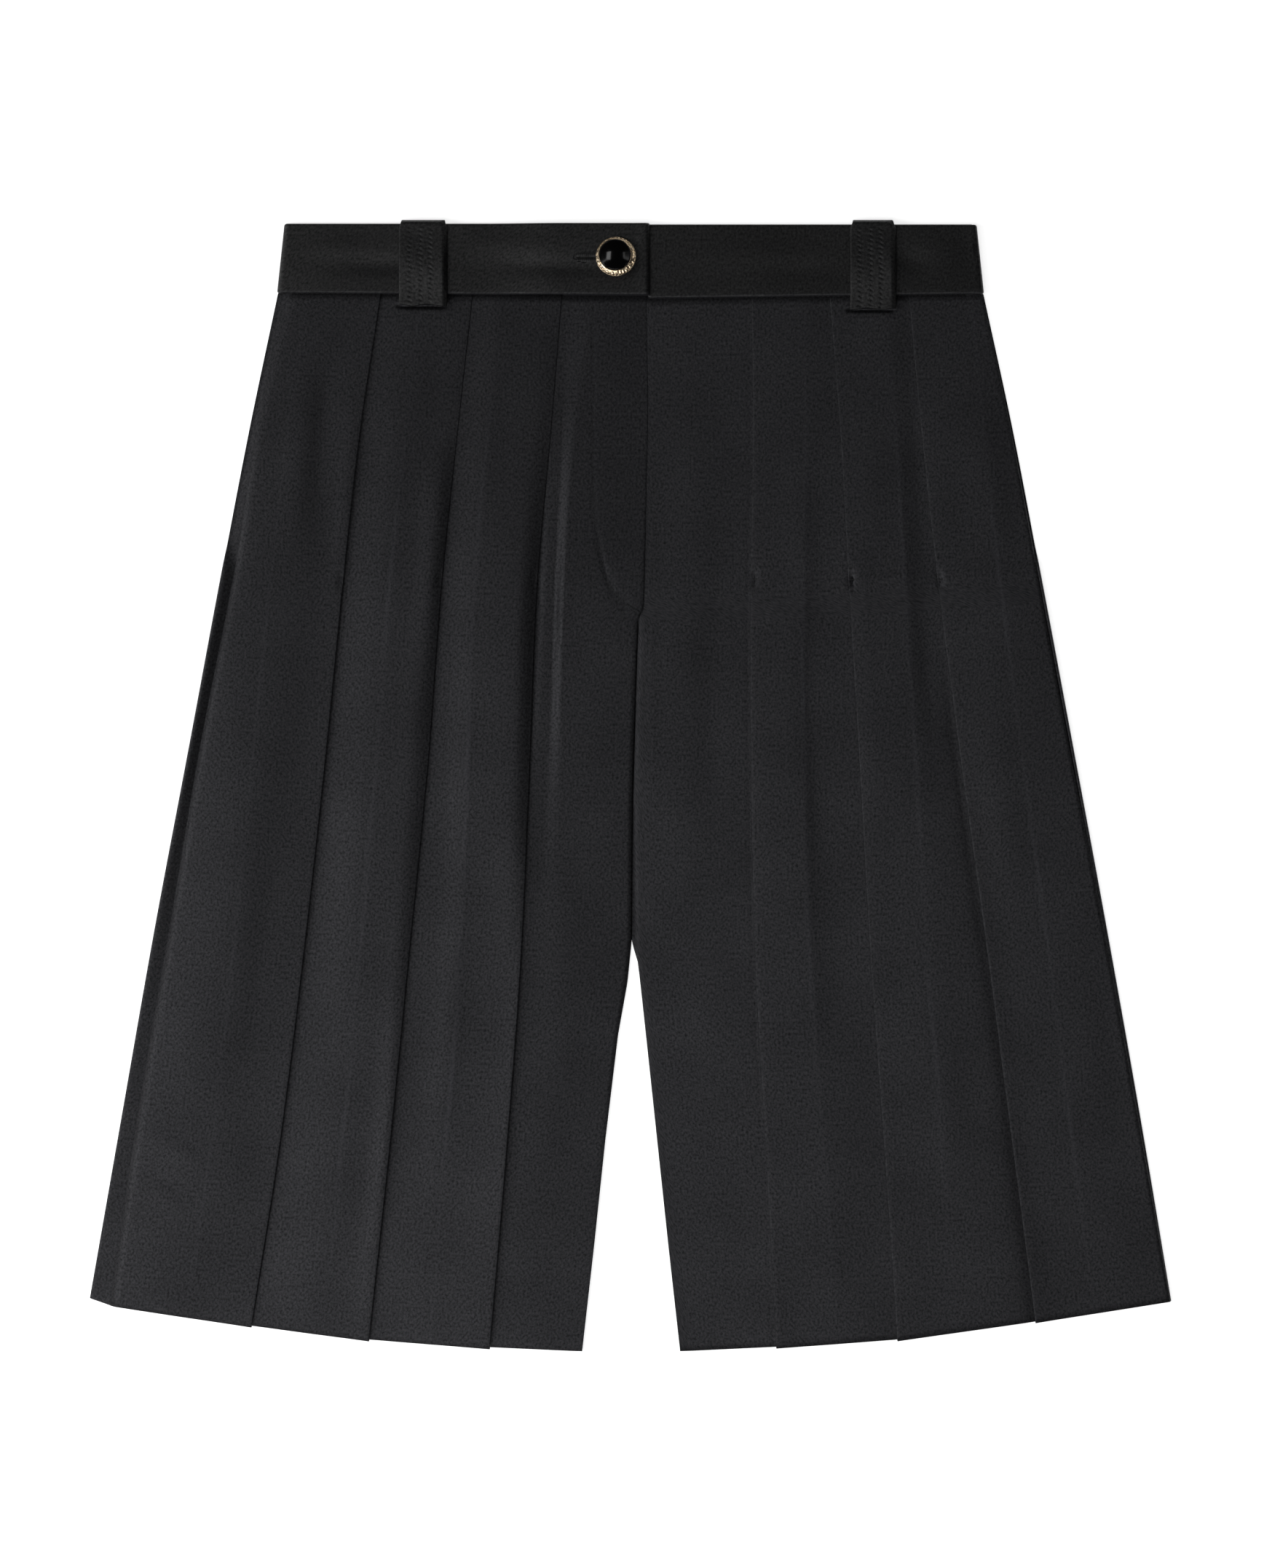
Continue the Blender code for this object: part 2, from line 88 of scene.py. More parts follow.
# Where each edge lies at the levels, and how far the hem rises there above its lowest point.
# The pressed lines give, for each pleat, how far out from its edge the ironed line of the fold
# under it lies at the stitching's end and at the hem, and how strongly the highlight painted along
# it shows. At the levels, `rolls` gives how far each pleat's panel puffs up before it rolls over
# its own fold, `roll_widths` how far from the fold it starts to do so, and `lifts` how far each
# fold stands off the cloth under it, rising to that over its lift width. `dips` gives how far the
# cloth beside each fold dips in, and `bulge` how far the side panel puffs up, of which its fold
# keeps a share. `lip` is how far the side panel rounds up from its own fold, and over how far, and
# `nick` how deep the end of the stitching pulls each pleat in. `ridge` is the last panel's: its
# height, its width and its distance from the inner fold, at the levels. `climbs` gives, for the
# two panels between pleats, the powers at the levels and the rounding of their climb off the
# layer below.
RIGHT = Leg(
    side=-1,
    outline=Line(179.6, 193.6, 207.4, 224.6, 242.0, 259.1, 275.2, 27.0),
    side_fold=Line(173.0, 189.4, 201.1, 219.1, 234.6, 251.2, 264.6, 23.3),
    pleats=(
        Line(126.7, 137.0, 145.3, 154.8, 165.3, 177.8, 192.6, 12.2),
        Line(80.1, 87.7, 95.5, 102.9, 112.3, 122.4, 132.8, 5.2),
        Line(34.7, 40.4, 47.2, 51.2, 55.5, 63.1, 71.4, 1.3),
    ),
    pressed=(Pressed(37.0, 34.0, 0.5), Pressed(26.5, 24.0, 0.8), Pressed(32.0, 31.0, 1.0)),
    rolls=(
        (0.3, 0.8, 0.3, 0.2, 0.2, 0.1, 0.0),
        (0.0, 1.2, 2.2, 1.9, 1.3, 0.9, 0.3),
        (0.0, 1.6, 2.8, 1.7, 0.0, 0.0, 0.1),
    ),
    roll_widths=(
        (6.0, 6.0, 6.0, 9.0, 9.0, 9.0, 9.0),
        (9.0, 11.0, 11.0, 10.0, 8.0, 4.0, 6.0),
        (9.0, 9.0, 9.0, 8.0, 9.0, 9.0, 9.0),
    ),
    lifts=(
        (1.2, 2.4, 0.8, 0.2, 0.2, 0.2, 0.1),
        (0.0, 0.0, 0.4, 0.7, 1.0, 2.0, 0.6),
        (0.0, 0.1, 0.5, 0.8, 1.6, 2.4, 1.4),
    ),
    lift_widths=(16.0, 14.0, 44.0),
    dips=((0.0,) * 7,) * 3,
    bulge=(0.8, 2.4, 2.2, 2.3, 2.3, 1.5, 0.5),
    keeps=0.55,
    lip=Lip(1.5, 3.6),
    nick=1.3,
    ridge=Ridge(
        (0.3, 1.6, 2.9, 0.8, 0.2, 0.2, 0.2),
        (18.0, 7.5, 5.0, 7.0, 14.0, 20.0, 24.0),
        (10.0, 8.8, 11.2, 12.2, 12.2, 12.2, 12.2),
    ),
    climbs=(
        Climb((1.6, 1.6, 1.6, 1.8, 1.8, 1.8, 1.8), 2.0),
        Climb((2.2, 2.2, 2.4, 3.3, 3.8, 2.2, 1.5), 2.0),
    ),
)
LEFT = Leg(
    side=1,
    outline=Line(179.8, 194.2, 208.0, 225.3, 242.4, 259.7, 275.2, 25.5),
    side_fold=Line(179.0, 193.0, 206.4, 223.4, 240.8, 258.4, 274.6, 25.3),
    pleats=(
        Line(141.3, 147.8, 155.6, 167.6, 180.6, 193.6, 205.8, 14.4),
        Line(101.1, 106.6, 110.7, 116.4, 121.8, 129.0, 135.6, 5.2),
        Line(61.6, 62.3, 61.0, 61.2, 63.2, 68.9, 74.0, 1.5),
    ),
    pressed=(Pressed(31.5, 30.0, 0.8), Pressed(28.4, 29.5, 0.7), Pressed(26.7, 30.0, 0.7)),
    rolls=(
        (0.0, 0.0, 0.1, 0.0, -0.1, -0.1, 0.0),
        (0.0, 0.0, 0.2, 0.3, 0.2, 0.1, 0.0),
        (0.0, 0.0, 0.1, 0.3, 0.3, 0.1, 0.0),
    ),
    roll_widths=((9.0,) * 7,) * 3,
    lifts=(
        (0.0, 0.0, 0.1, 0.1, 0.2, 0.4, 0.4),
        (0.0, 0.0, 0.0, 0.1, 0.1, 0.3, 0.4),
        (0.0, 0.0, 0.0, 0.1, 0.1, 0.3, 0.3),
    ),
    lift_widths=(14.0, 14.0, 14.0),
    dips=((0.0, 0.0, 0.0, 0.6, 0.5, 0.4, 0.4), (0.0,) * 7, (0.0, 0.2, 0.3, 0.3, 0.3, 0.2, 0.2)),
    bulge=(0.0, 0.2, 0.2, 0.2, 0.2, 0.1, 0.0),
    keeps=0.0,
    lip=Lip(0.3, 1.6),
    nick=2.6,
    ridge=Ridge((0.3, 1.5, 2.6, 1.6, 0.6, 0.1, 0.0), (44.0,) * 7, (22.0,) * 7),
    climbs=(
        Climb((2.0, 2.0, 2.4, 1.2, 0.5, 0.35, 0.35), 1.6),
        Climb((1.2, 1.2, 3.0, 6.0, 3.0, 1.3, 1.2), 1.15),
    ),
)
LEGS = {"right": RIGHT, "left": LEFT}

# The same levels for what both legs share
SIDE_DEPTH = (8.0, 14.0, 20.0, 26.0, 28.0, 28.0, 28.0)  # of the cloth under the side fold
PRESSED_FLAT = (0.4, 0.45, 0.8, 1.0, 1.0, 1.0, 1.0)  # how thick the sewn-down pleats are
SIDE_RISE = (0.0, 0.0, 1.1, 1.1, 0.4, 0.1, 0.0)  # how high the back stands up at the side's outline
SIDE_SINK = (0.0, 0.0, 0.6, 0.6, 0.6, 0.2, -0.1)  # how far it falls from there into the side pleat
SIDE_OPENS = (0.25, 0.275)  # above this the side is sewn, and slopes down to the outline
SIDE_SLOPE = 1.4
SIDE_SHOWS = 0.7  # the back falls into the side pleat until this far past the side fold
BULGE_PEAK = 0.55  # the side panel's bulge has risen over this share of it
BULGE_POWER = 2.5
ROLL_POWER = 1.4  # of a panel's rise to its roll
IRONED_WIDTH = 0.8  # of the line pressed over the fold below, and of the highlight painted along it
IRONED_RISE = 0.05
RIDGE_FALL = -0.1  # how much of its height the ridge loses on the way to the centre
DIP_AT = 1.1  # from the fold
DIP_WIDTH = 1.0
NICK_AT = 1.8
NICK_WIDTH = 1.6
INNER_DROP = (0.0, 0.0, 0.2, 0.9, 0.9, 0.2, 0.0)  # of the inner edges, down between the legs
INNER_ROLL = 2.5
TROUGH_AT = -6.8  # from the ridge, towards the fold
TROUGH_WIDTH = 2.6
TROUGH_SHARE = 0.4

# Inner edges of the fronts, the fly, then the rise, then the inseam: share of the way down, and
# places of the right one and the left one
INNER_EDGES = (
    (0.000, -8.1, -18.0),
    (0.112, -8.8, -18.0),
    (0.285, -6.9, -17.0),
    (0.297, -6.7, -6.0),
    (0.307, -3.7, 4.1),
    (0.371, -2.6, 3.0),
    (0.475, -1.1, 1.5),
    (0.609, -0.7, 2.2),
    (0.650, 1.5, 4.9),
    (0.700, 6.3, 7.8),
    (0.800, 12.8, 13.5),
    (0.900, 18.5, 19.2),
    (1.000, 24.6, 25.2),
)
STITCH_END = 0.268  # of the pleats, as a share of the way down
STITCH_END_Y = WAIST_SEAM - STITCH_END * (WAIST_SEAM - HEM)
FLY_END = 0.307
FLY_FALL = 0.05
PLAIN_EDGE = 6.0  # the last panel is flat over this much at its inner edge
PAST_OVERLAP = 2.0  # and at least this far past the band's overlap
BACK_INSET = 0.5  # the backs' inseam lies this far outside the fronts'
LEGS_PART = (0.6, 0.645)
CLOSED = 0.04  # gap between the backs above that
SEAM_SINK = 0.7  # how far the legs' cloth dips in at the band
SEAM_WIDTH = 1.0
FLY_GROOVE = 0.08  # how deep the fly's stitching pulls in, and how much more round its foot
FLY_GROOVE_LOW = 0.3
FLY_GROOVE_WIDTH = 1.1
FLY_TURNS = (135.0, 105.0)  # its row of stitching curves in to the foot between these heights
LOOP_GROOVE = 2.0  # how deep a belt loop's end presses in
LOOP_GROOVE_WIDTH = 0.9
UNEVEN = 0.07  # slow waves over the legs
BACK_SEAM_RISE = 2.6  # the back's seam lies higher than the front's, but not at the sides
BACK_SEAM_TURNS = (158.0, 174.0)

# Waistband
BAND_WALL = 2.4
BAND_LAYER = BAND_WALL + GAP
BAND_BACK = BAND_WALL / 2
BAND_FRONT = BAND_BACK + BAND_LAYER
BAND_OVER = BAND_FRONT + BAND_LAYER
BAND_HALF_TOP = 176.0
BAND_HALF_SEAM = 179.8
OVERLAP_EDGE = 8.1
OVERLAP_END = 9.3  # the end rolls over from its edge to here
OVERLAP_PUFF = 0.2
OVERLAP_DROP = 1.4  # how far it comes down over its end
UNDERLAP_END = -34.0
UNDERLAP_STEP = 9.0
UNDERLAP_DROP = 0.5  # how much lower its top edge is than the overlap's
OVERLAP_RISE = (-75.0, -36.0)  # the right front climbs on to the underlap between these
# How far its lower edge lies above or below the waist seam, at the centre and at the sides
LEFT_SEAM_DROP = 1.3
RIGHT_SEAM_RISE = 0.3
RIGHT_SIDE_RISE = 1.7
LEFT_SIDE_RISE = 1.2
BAND_ROWS = 26
BUTTON_ROWS = 17  # closer together beside the button
BUTTON_ROWS_REACH = 0.07
BAND_WAVE = 0.05
BAND_PAINTED_HIGHLIGHT = 0.9  # width of the highlight painted along its lower edge
SLOT = (-27.8, -5.4)  # the buttonhole, from its far end to under the button
SLOT_DEPTH = 0.7
SLOT_WIDTH = 0.55
SLOT_LIP = 0.22
SLOT_LIP_AT = 1.4
SLOT_LIP_WIDTH = 0.8

# Belt loops
Loop = namedtuple("Loop", "name middle width top_width hang phase")
LOOPS = (
    Loop("belt_loop_right", -106.7, 21.8, 19.4, 4.9, 0.0),
    Loop("belt_loop_left", 121.7, 20.7, 17.6, 6.8, 2.1),
)
LOOP_WALL = 1.2
LOOP_ARCH = 1.4  # how far its middle bows off the band
LOOP_TURN = 2.2  # the radius of the turn over the band's top edge
LOOP_END = 3.4  # the height at which it ends there
LOOP_NARROWS = 6.0
LOOP_FOOT_WAVE = 0.5  # how uneven its lower end is
LOOP_WAVE = 0.12
COVER_STITCH = 2.5  # pitch
COVER_STITCH_AT = (-5.3, 0.0, 5.3)
COVER_STITCH_WIDTH = 0.85
COVER_STITCH_RELIEF = 0.17
COVER_STITCH_SINK = 0.05
LOOP_STAND = 1.1  # how far the loop stands off the band
LOOP_MARGIN = 2.8  # the side away from the light falls off to the band over this

# Button
BUTTON_AT = (-7.4, 268.2)
# Radius and height along the rim: up the shank, out below, round the lip, up the flank and in
RIM_PROFILE = (
    (0, -3.0), (1.5, -3.0), (1.5, 0.0), (8.8, 0.0), (9.9, 0.15), (10.25, 0.5), (10.27, 0.9),
    (10.1, 1.25), (9.85, 1.3), (9.6, 1.28), (9.25, 1.42), (8.9, 1.6), (8.6, 1.8), (8.4, 1.95),
    (8.2, 2.0), (8.0, 1.85), (7.95, 1.0), (0, 1.0),
)
RIM_STEPS = 4  # for each step of the profile
RIM_AROUND = 240
FLANK_AT = 9.2
FLANK_WIDTH = 0.5
HAMMERED = 0.17  # how deep the hammer marks are
CABOCHON_RADIUS = 7.7
CABOCHON_BASE = 1.05
CABOCHON_AROUND = 96
DOME_TOP = 3.5
DOME_BEND = 23.0  # the radius of its curve over the middle
DOME_CURVED = 5.2  # and how far out that goes
BUTTON_LEAN = (0.05, -0.19)  # rise for each unit along X and Y
SETTING_OFFSET = (-0.45, 0.9)  # the stone sits off the rim's middle
BUTTON_BASE = BAND_OVER + BAND_WALL / 2 + GAP + 1.6

# Creases that are not part of the pleats: the x and y of both ends, the width at which the bump has
# fallen to 0.37 of its height, the height, under 0 for a trough, and how far it bows to its left
CREASES = {
    -1: (
        (-166, 225, -176, 110, 7, 0.45, 2),
        (-150, 232, -160, 120, 5, -0.4, -2),
        (-141, 215, -150, 95, 4, 0.35, 1),
        (-120, 230, -128, 90, 9, 0.4, 2),
        (-95, 236, -104, 130, 6, -0.3, 1),
        (-95.5, 190, -103, 30, 7, 1.1, 0),
        (-70, 238, -76, 120, 8, 0.3, -2),
        (-190, 30, -214, -110, 12, 0.5, 3),
        (-176, -20, -196, -160, 7, -0.3, -2),
        (-140, 20, -150, -130, 10, 0.35, 2),
        (-90, -60, -98, -190, 9, 0.35, -2),
        (-250, -176, -212, -196, 2.2, 0.45, 1),
        (-254, -190, -222, -206, 2.0, -0.35, -1),
        (-246, -204, -226, -216, 2.4, 0.3, 1),
        (-60, 10, -56, -150, 10, 0.4, 2),
        (-30, -40, -36, -180, 9, 0.5, -2),
    ),
    1: (
        (30, 225, 34, 60, 12, 0.4, 2),
        (45, 120, 43, -60, 8, -0.4, -2),
        (84, 190, 86, 90, 6, 0.3, 1),
        (90, 95, 87, -20, 6, -0.45, 1),
        (120, 215, 126, 110, 7, 0.3, -2),
        (149, 110, 153, 20, 6, -0.5, 1),
        (143, 205, 152, 85, 6, -0.5, 0),
        (174, 225, 190, 90, 9, 0.5, 0),
        (182, 60, 202, -90, 10, 0.4, -3),
        (40, -60, 52, -220, 14, 0.6, 3),
        (112, -60, 112, -180, 10, 0.4, 2),
        (236, -70, 250, -200, 9, -0.35, 2),
        (160, -120, 166, -220, 9, 0.4, -2),
    ),
}

# Soft dents and swells in the band, between loops and button: x, y, reach along X and along Y, and
# how far it is raised, under 0 for a dent
DENTS = (
    (-128, 265, 20, 5, -1.0),
    (-150, 273, 18, 6, 0.5),
    (-168, 262, 14, 8, 0.25),
    (-37, 264, 26, 5, -1.0),
    (-60, 275, 20, 6, 0.5),
    (-80, 262, 8, 10, -0.25),
    (60, 270, 34, 8, 0.3),
    (85, 262, 22, 6, -0.6),
    (142, 267, 9, 6, -0.7),
    (156, 276, 12, 8, 0.15),
    (172, 272, 8, 12, -0.5),
)

# The fly's row of stitching, from the band down and round to the tack at its foot
FLY_STITCH = (
    (-19.4, 245.0), (-19.2, 232.5), (-18.9, 140.4), (-15.9, 121.5), (-11.8, 105.3), (-8.1, 98.2),
    (-2.2, 92.3),
)
FLY_TACK = ((-1.5, 91.8), (4.4, 88.2))

# Stitches: the share of a pitch that each fills, and where those of the buttonhole start and end,
# from the middle of the slot
LOCKSTITCH_FILLS = 0.72
SEAM_STITCH_FILLS = 0.6
COVER_STITCH_FILLS = 0.6
COVER_THREAD = 0.32
BUTTONHOLE_PITCH = 1.0
BUTTONHOLE_BITE = (0.75, 2.0)
BUTTONHOLE_THREAD = 0.5
THREAD_SIDES = 6
THREAD_RINGS = 5
TACK_STEPS = (0.0, 0.5, 1.0, 1.5, 2.0)  # of the bar where a pleat's stitching ends
SEAM_STITCHES = (("right", -178, -118), ("left", 14, 176))  # below the band, where its seam shows
SEAM_STITCH_HEIGHT = 3.6

# How finely the shapes are sampled. A leg's rows are shares of the way down it.
EVEN_ROWS = np.linspace(0, 1, 148)
LOOP_ROWS = np.linspace(0.006, 0.018, 12)  # closer together under the loops' ends
AWAY_FROM_LOOPS = np.abs(EVEN_ROWS - LOOP_ROWS.mean()) > 0.0075
FRONT_ROWS = np.sort(np.concatenate([EVEN_ROWS[AWAY_FROM_LOOPS], LOOP_ROWS]))
BACK_ROWS = np.linspace(0, 1, 120)
HIDDEN_STEPS = 3
FOLD_STEPS = 7
PANEL_STEPS = 34
INNER_STEPS = 18
BACK_STEPS = 60
SIDE_STATIONS = np.concatenate([np.linspace(0, 0.03, 7), np.linspace(0.045, 1, 46)])


# ---------------------------------------------------------------- shapes of the cloth


def smooth(share):
    """A soft step from 0 to 1, level at both ends: 3s² − 2s³."""
    share = np.clip(share, 0, 1)
    return share * share * (3 - 2 * share)


def place(levels, share):
    """The smooth curve through one value for each level, read at a share. It is a cubic between
    each two levels, and its slope at a level comes from the values on both sides."""
    levels = np.asarray(levels, dtype=float)
    slopes = np.gradient(levels, LEVELS)
    first = np.clip(np.searchsorted(LEVELS, share, side="right") - 1, 0, len(LEVELS) - 2)
    span = LEVELS[first + 1] - LEVELS[first]
    way = (share - LEVELS[first]) / span
    straight = levels[first] + (levels[first + 1] - levels[first]) * smooth(way)
    bend = slopes[first] * way * (1 - way) ** 2 - slopes[first + 1] * way**2 * (1 - way)
    return straight + span * bend


def edge(line, share):
    return place(line[: len(LEVELS)], share)


def inner_edge(leg, share):
    shares, right, left = zip(*INNER_EDGES)
    return np.interp(share, shares, right if leg is RIGHT else left)


def waist_seam(side, x, behind=False):
    """The lower edge of the band, rising evenly to the sides. The left half hangs at the centre,
    and its underlap is stepped up to the height of the right half. Behind, the edge lies higher,
    and comes down to meet the front at the sides by a soft step."""
    way = np.abs(x) / BAND_HALF_SEAM
    right = RIGHT_SEAM_RISE + (RIGHT_SIDE_RISE - RIGHT_SEAM_RISE) * way
    if behind:
        start, end = BACK_SEAM_TURNS
        at_side = RIGHT_SIDE_RISE if side == RIGHT.side else LEFT_SIDE_RISE
        turned = smooth((np.abs(x) - start) / (end - start))
        return WAIST_SEAM + BACK_SEAM_RISE + (at_side - BACK_SEAM_RISE) * turned
    if side == RIGHT.side:
        return WAIST_SEAM + right
    hanging = -LEFT_SEAM_DROP + (LEFT_SIDE_RISE + LEFT_SEAM_DROP) * way
    return WAIST_SEAM + np.where(x < UNDERLAP_STEP, right, hanging)


def hem_height(leg, out):
    """The hem's place along Y, straight between the edges of the folds."""
    lines = (*leg.pleats[::-1], leg.side_fold, leg.outline)
    places = [inner_edge(leg, LEVELS[-1]), *(line.hem for line in lines)]
    return HEM + np.interp(out, places, [0.0, *(line.hem_rise for line in lines)])


def bump(distance, width):
    """1 at no distance, falling as exp(−(distance / width)²)."""
    return np.exp(-((distance / width) ** 2))


class Section:
    """A line of cloth at every row, as runs joined end to end. Each run holds, for every row,
    places outwards from the centre line, heights of the wall's middle, how much shorter the cloth
    is at the hem, and how strongly a highlight is painted on it."""

    def __init__(self, rows):
        self.rows = rows
        self.runs = []

    def run(self, start, end, height, steps, short=0.0, pressed=None, joined=0):
        """Cloth from one place to another. The height is a function of the share on the way, and
        the painted highlight one of the places outwards. A run that is joined on leaves out its
        first point."""
        if isinstance(steps, int):
            steps = np.linspace(0, 1, steps + 1)
        on_the_way = steps[None, joined:]
        start = np.broadcast_to(start, self.rows.shape)[:, None]
        end = np.broadcast_to(end, self.rows.shape)[:, None]
        out = start + (end - start) * on_the_way
        self.add(out, height(on_the_way, out), short, 0.0 if pressed is None else pressed(out))

    def fold(self, middle, low, high, facing, upwards, short=0.0, radius=LAYER / 2):
        """Half a turn between two layers, round a middle, bulging the way that it faces."""
        turn = np.linspace(-0.5, 0.5, FOLD_STEPS + 1)[None, 1:-1] * np.pi
        turn = turn if upwards else turn[:, ::-1]
        low = np.broadcast_to(low, self.rows.shape)[:, None]
        high = np.broadcast_to(high, self.rows.shape)[:, None]
        out = middle[:, None] + facing * radius * np.cos(turn)
        self.add(out, (low + high) / 2 + (high - low) / 2 * np.sin(turn), short, 0.0)

    def add(self, out, height, short, pressed):
        shape = (len(self.rows), out.shape[1])
        self.runs.append([np.broadcast_to(part, shape) for part in (out, height, short, pressed)])

    def joined(self):
        return [np.concatenate(part, axis=1) for part in zip(*self.runs)]


def laid(leg, rows, section, behind=False):
    """The section's points in the frame, each row on its way from the waist seam to the hem, with
    the painted highlight as a fourth value."""
    out, height, short, pressed = section.joined()
    top = waist_seam(leg.side, leg.side * out[0], behind) + SEAM_TUCK
    bottom = hem_height(leg, out[-1]) + short[-1]
    along = top + (bottom - top) * rows[:, None]
    return np.stack([leg.side * out, along, height, pressed], axis=-1)


def front_section(leg, rows, wall):
    """The front's line of cloth: from under the side fold, over the side panel, then through each
    pleat's edge, its return and its under-fold on to the next panel, and so to the inner edge.

    A panel climbs off the layer below it as 1 − (1 − s^p)^q, up to the line of the fold under it.
    It also puffs up by its roll r, quickly at first, as r · (1 − (1 − s^1.4)²), and comes down
    again at a distance d from its own fold by r · (1 − d / w)², with w the roll's width. Its fold
    is lifted by l, which it nears as l · (1 − d / w)², with w the lift's width. The side panel
    bulges: it rises as 1 − (1 − s / 0.55)^2.5, and sinks again softly on its second half. From its
    own fold it rounds up by its lip as 1 − (1 − d / w)², and the lip fades across the panel."""
    section = Section(rows)
    reach = LAYER / 2 + wall / 2
    side_fold = edge(leg.side_fold, rows) - reach
    folds = [edge(line, rows) for line in leg.pleats]
    rolls, widths, lifts = (
        [place(levels, rows)[:, None] for levels in table]
        for table in (leg.rolls, leg.roll_widths, leg.lifts)
    )
    bulge = place(leg.bulge, rows)[:, None]
    raised = [lifts[0] + leg.keeps * bulge, *lifts[1:]]

    def depth_at(number):
        """How far out from a pleat's edge the line of the fold under it lies."""
        pressed = leg.pressed[number]
        below = smooth((rows - LEVELS[2]) / (1 - LEVELS[2]))
        return pressed.stitch_end + (pressed.hem - pressed.stitch_end) * below

    def ironed(number):
        """The highlight painted on that line, faint at the waist and at the hem and uneven along
        it.
        """
        faint = 0.25 + 0.75 * smooth(rows / 0.35)
        strength = leg.pressed[number].strength * faint * (1 - 0.7 * smooth((rows - 0.8) / 0.2))
        uneven = 0.7 + 0.3 * np.sin(rows * 23 + 2.3 * number + leg.side)
        line = folds[number] + depth_at(number)
        return lambda out: (strength * uneven)[:, None] * bump(out - line[:, None], IRONED_WIDTH)

    def lifted(number, out):
        to_fold = out - (folds[number] + reach)[:, None]
        return lifts[number] * np.clip(1 - to_fold / leg.lift_widths[number], 0, 1) ** 2

    def puffed(number, out, start):
        """How far a panel that starts at one place stands up off its layer on the way to its
        fold."""
        to_fold = out - (folds[number] + reach)[:, None]
        across = (start - folds[number] - reach)[:, None]
        rises_over = across - np.minimum(widths[number], across / 2)
        share = np.clip((across - to_fold) / rises_over, 0, 1)
        up = 1 - (1 - share**ROLL_POWER) ** 2
        return rolls[number] * (up - (1 - np.clip(to_fold / widths[number], 0, 1)) ** 2)

    def side_panel(way, out):
        rises = 1 - np.clip(1 - way / BULGE_PEAK, 0, 1) ** BULGE_POWER
        sinks = 1 - (1 - leg.keeps) * smooth((way - 0.5) / 0.5)
        rounds = 1 - np.clip(1 - (side_fold[:, None] - out) / leg.lip.width, 0, 1) ** 2
        return (
            HIGH
            + bulge * rises * sinks
            + leg.lip.height * (1 - smooth(way)) * rounds
            + puffed(0, out, side_fold)
            + lifted(0, out)
            + IRONED_RISE * line(out)
        )

    under = side_fold - place(SIDE_DEPTH, rows)
    section.run(under, side_fold, lambda way, out: RETURN, HIDDEN_STEPS, HEM_STEP)
    section.fold(side_fold, RETURN, HIGH, 1, upwards=True)
    line = ironed(0)
    section.run(side_fold, folds[0] + reach, side_panel, SIDE_STATIONS, 0.0, line)
    for number, (fold, after) in enumerate(zip(folds, folds[1:] + [None])):
        # The outermost pleat stops short of its pressed line, where its return would run into
        # the cloth under the side fold
        depth = np.full_like(fold, PLEAT_DEPTH) if number == 0 else depth_at(number)
        lift = raised[number]
        section.fold(fold + reach, RETURN + lift[:, 0], HIGH + lift[:, 0], -1, upwards=False)
        under = fold + depth - reach
        section.run(
            fold + reach, under, lambda way, out: RETURN + lift * (1 - way), HIDDEN_STEPS, HEM_STEP
        )
        section.fold(under, LOW, RETURN, 1, upwards=False, short=HEM_STEP)
        section.run(under, fold + reach, lambda way, out: LOW, HIDDEN_STEPS, HEM_STEP)
        if after is None:
            last_panel(leg, rows, section, fold)
            continue
        climb = ((fold - after - depth_at(number + 1)) / (fold - after - reach))[:, None]
        power = place(leg.climbs[number].powers, rows)[:, None]
        rounding = leg.climbs[number].rounding
        line = ironed(number + 1)
        section.run(
            fold,
            after + reach,
            lambda way, out: LOW
            + (HIGH - LOW) * (1 - (1 - np.minimum(way / climb, 1) ** power) ** rounding)
            + puffed(number + 1, out, fold)
            + lifted(number + 1, out)
            + IRONED_RISE * line(out),
            PANEL_STEPS,
            HEM_STEP * (1 - np.linspace(0, 1, PANEL_STEPS + 1)),
            line,
        )
    return section


def last_panel(leg, rows, section, fold):
    """From the inner pleat to the centre, with a ridge beside the pleat and a trough between the
    two. The right one steps up at the ridge on to the fly's underlap, and comes down to the rise
    below it. The inner edge turns down by its drop as (1 − d / roll)² at a distance d from it."""
    inner = inner_edge(leg, rows)
    flat = np.maximum(inner + PLAIN_EDGE, OVERLAP_EDGE + PAST_OVERLAP)
    over_fly = 1 - smooth((rows - FLY_END) / FLY_FALL)
    climb = (over_fly * LAYER if leg is RIGHT else 0 * rows)[:, None]
    ridge, wide, at = (place(levels, rows)[:, None] for levels in leg.ridge)

    def height(way, out):
        past = fold[:, None] - out - (at - wide / 2)
        rest = (fold - flat)[:, None] - at - wide / 2
        up = smooth(past / wide)
        trough = TROUGH_SHARE * ridge * bump(past + wide / 2 - TROUGH_AT, TROUGH_WIDTH)
        falls = 1 - RIDGE_FALL * smooth((past - wide) / rest)
        return LOW + climb * up + ridge * up * falls - trough

    steps = 2 * PANEL_STEPS
    section.run(fold, flat, height, steps, HEM_STEP * (1 - np.linspace(0, 1, steps + 1)))
    drop = place(INNER_DROP, rows)[:, None]

    def beside_edge(way, out):
        turned_in = np.clip(1 - (out - inner[:, None]) / INNER_ROLL, 0, 1) ** 2
        return LOW + climb + (1 - RIDGE_FALL) * ridge - drop * turned_in

    section.run(flat, inner, beside_edge, INNER_STEPS, joined=1)


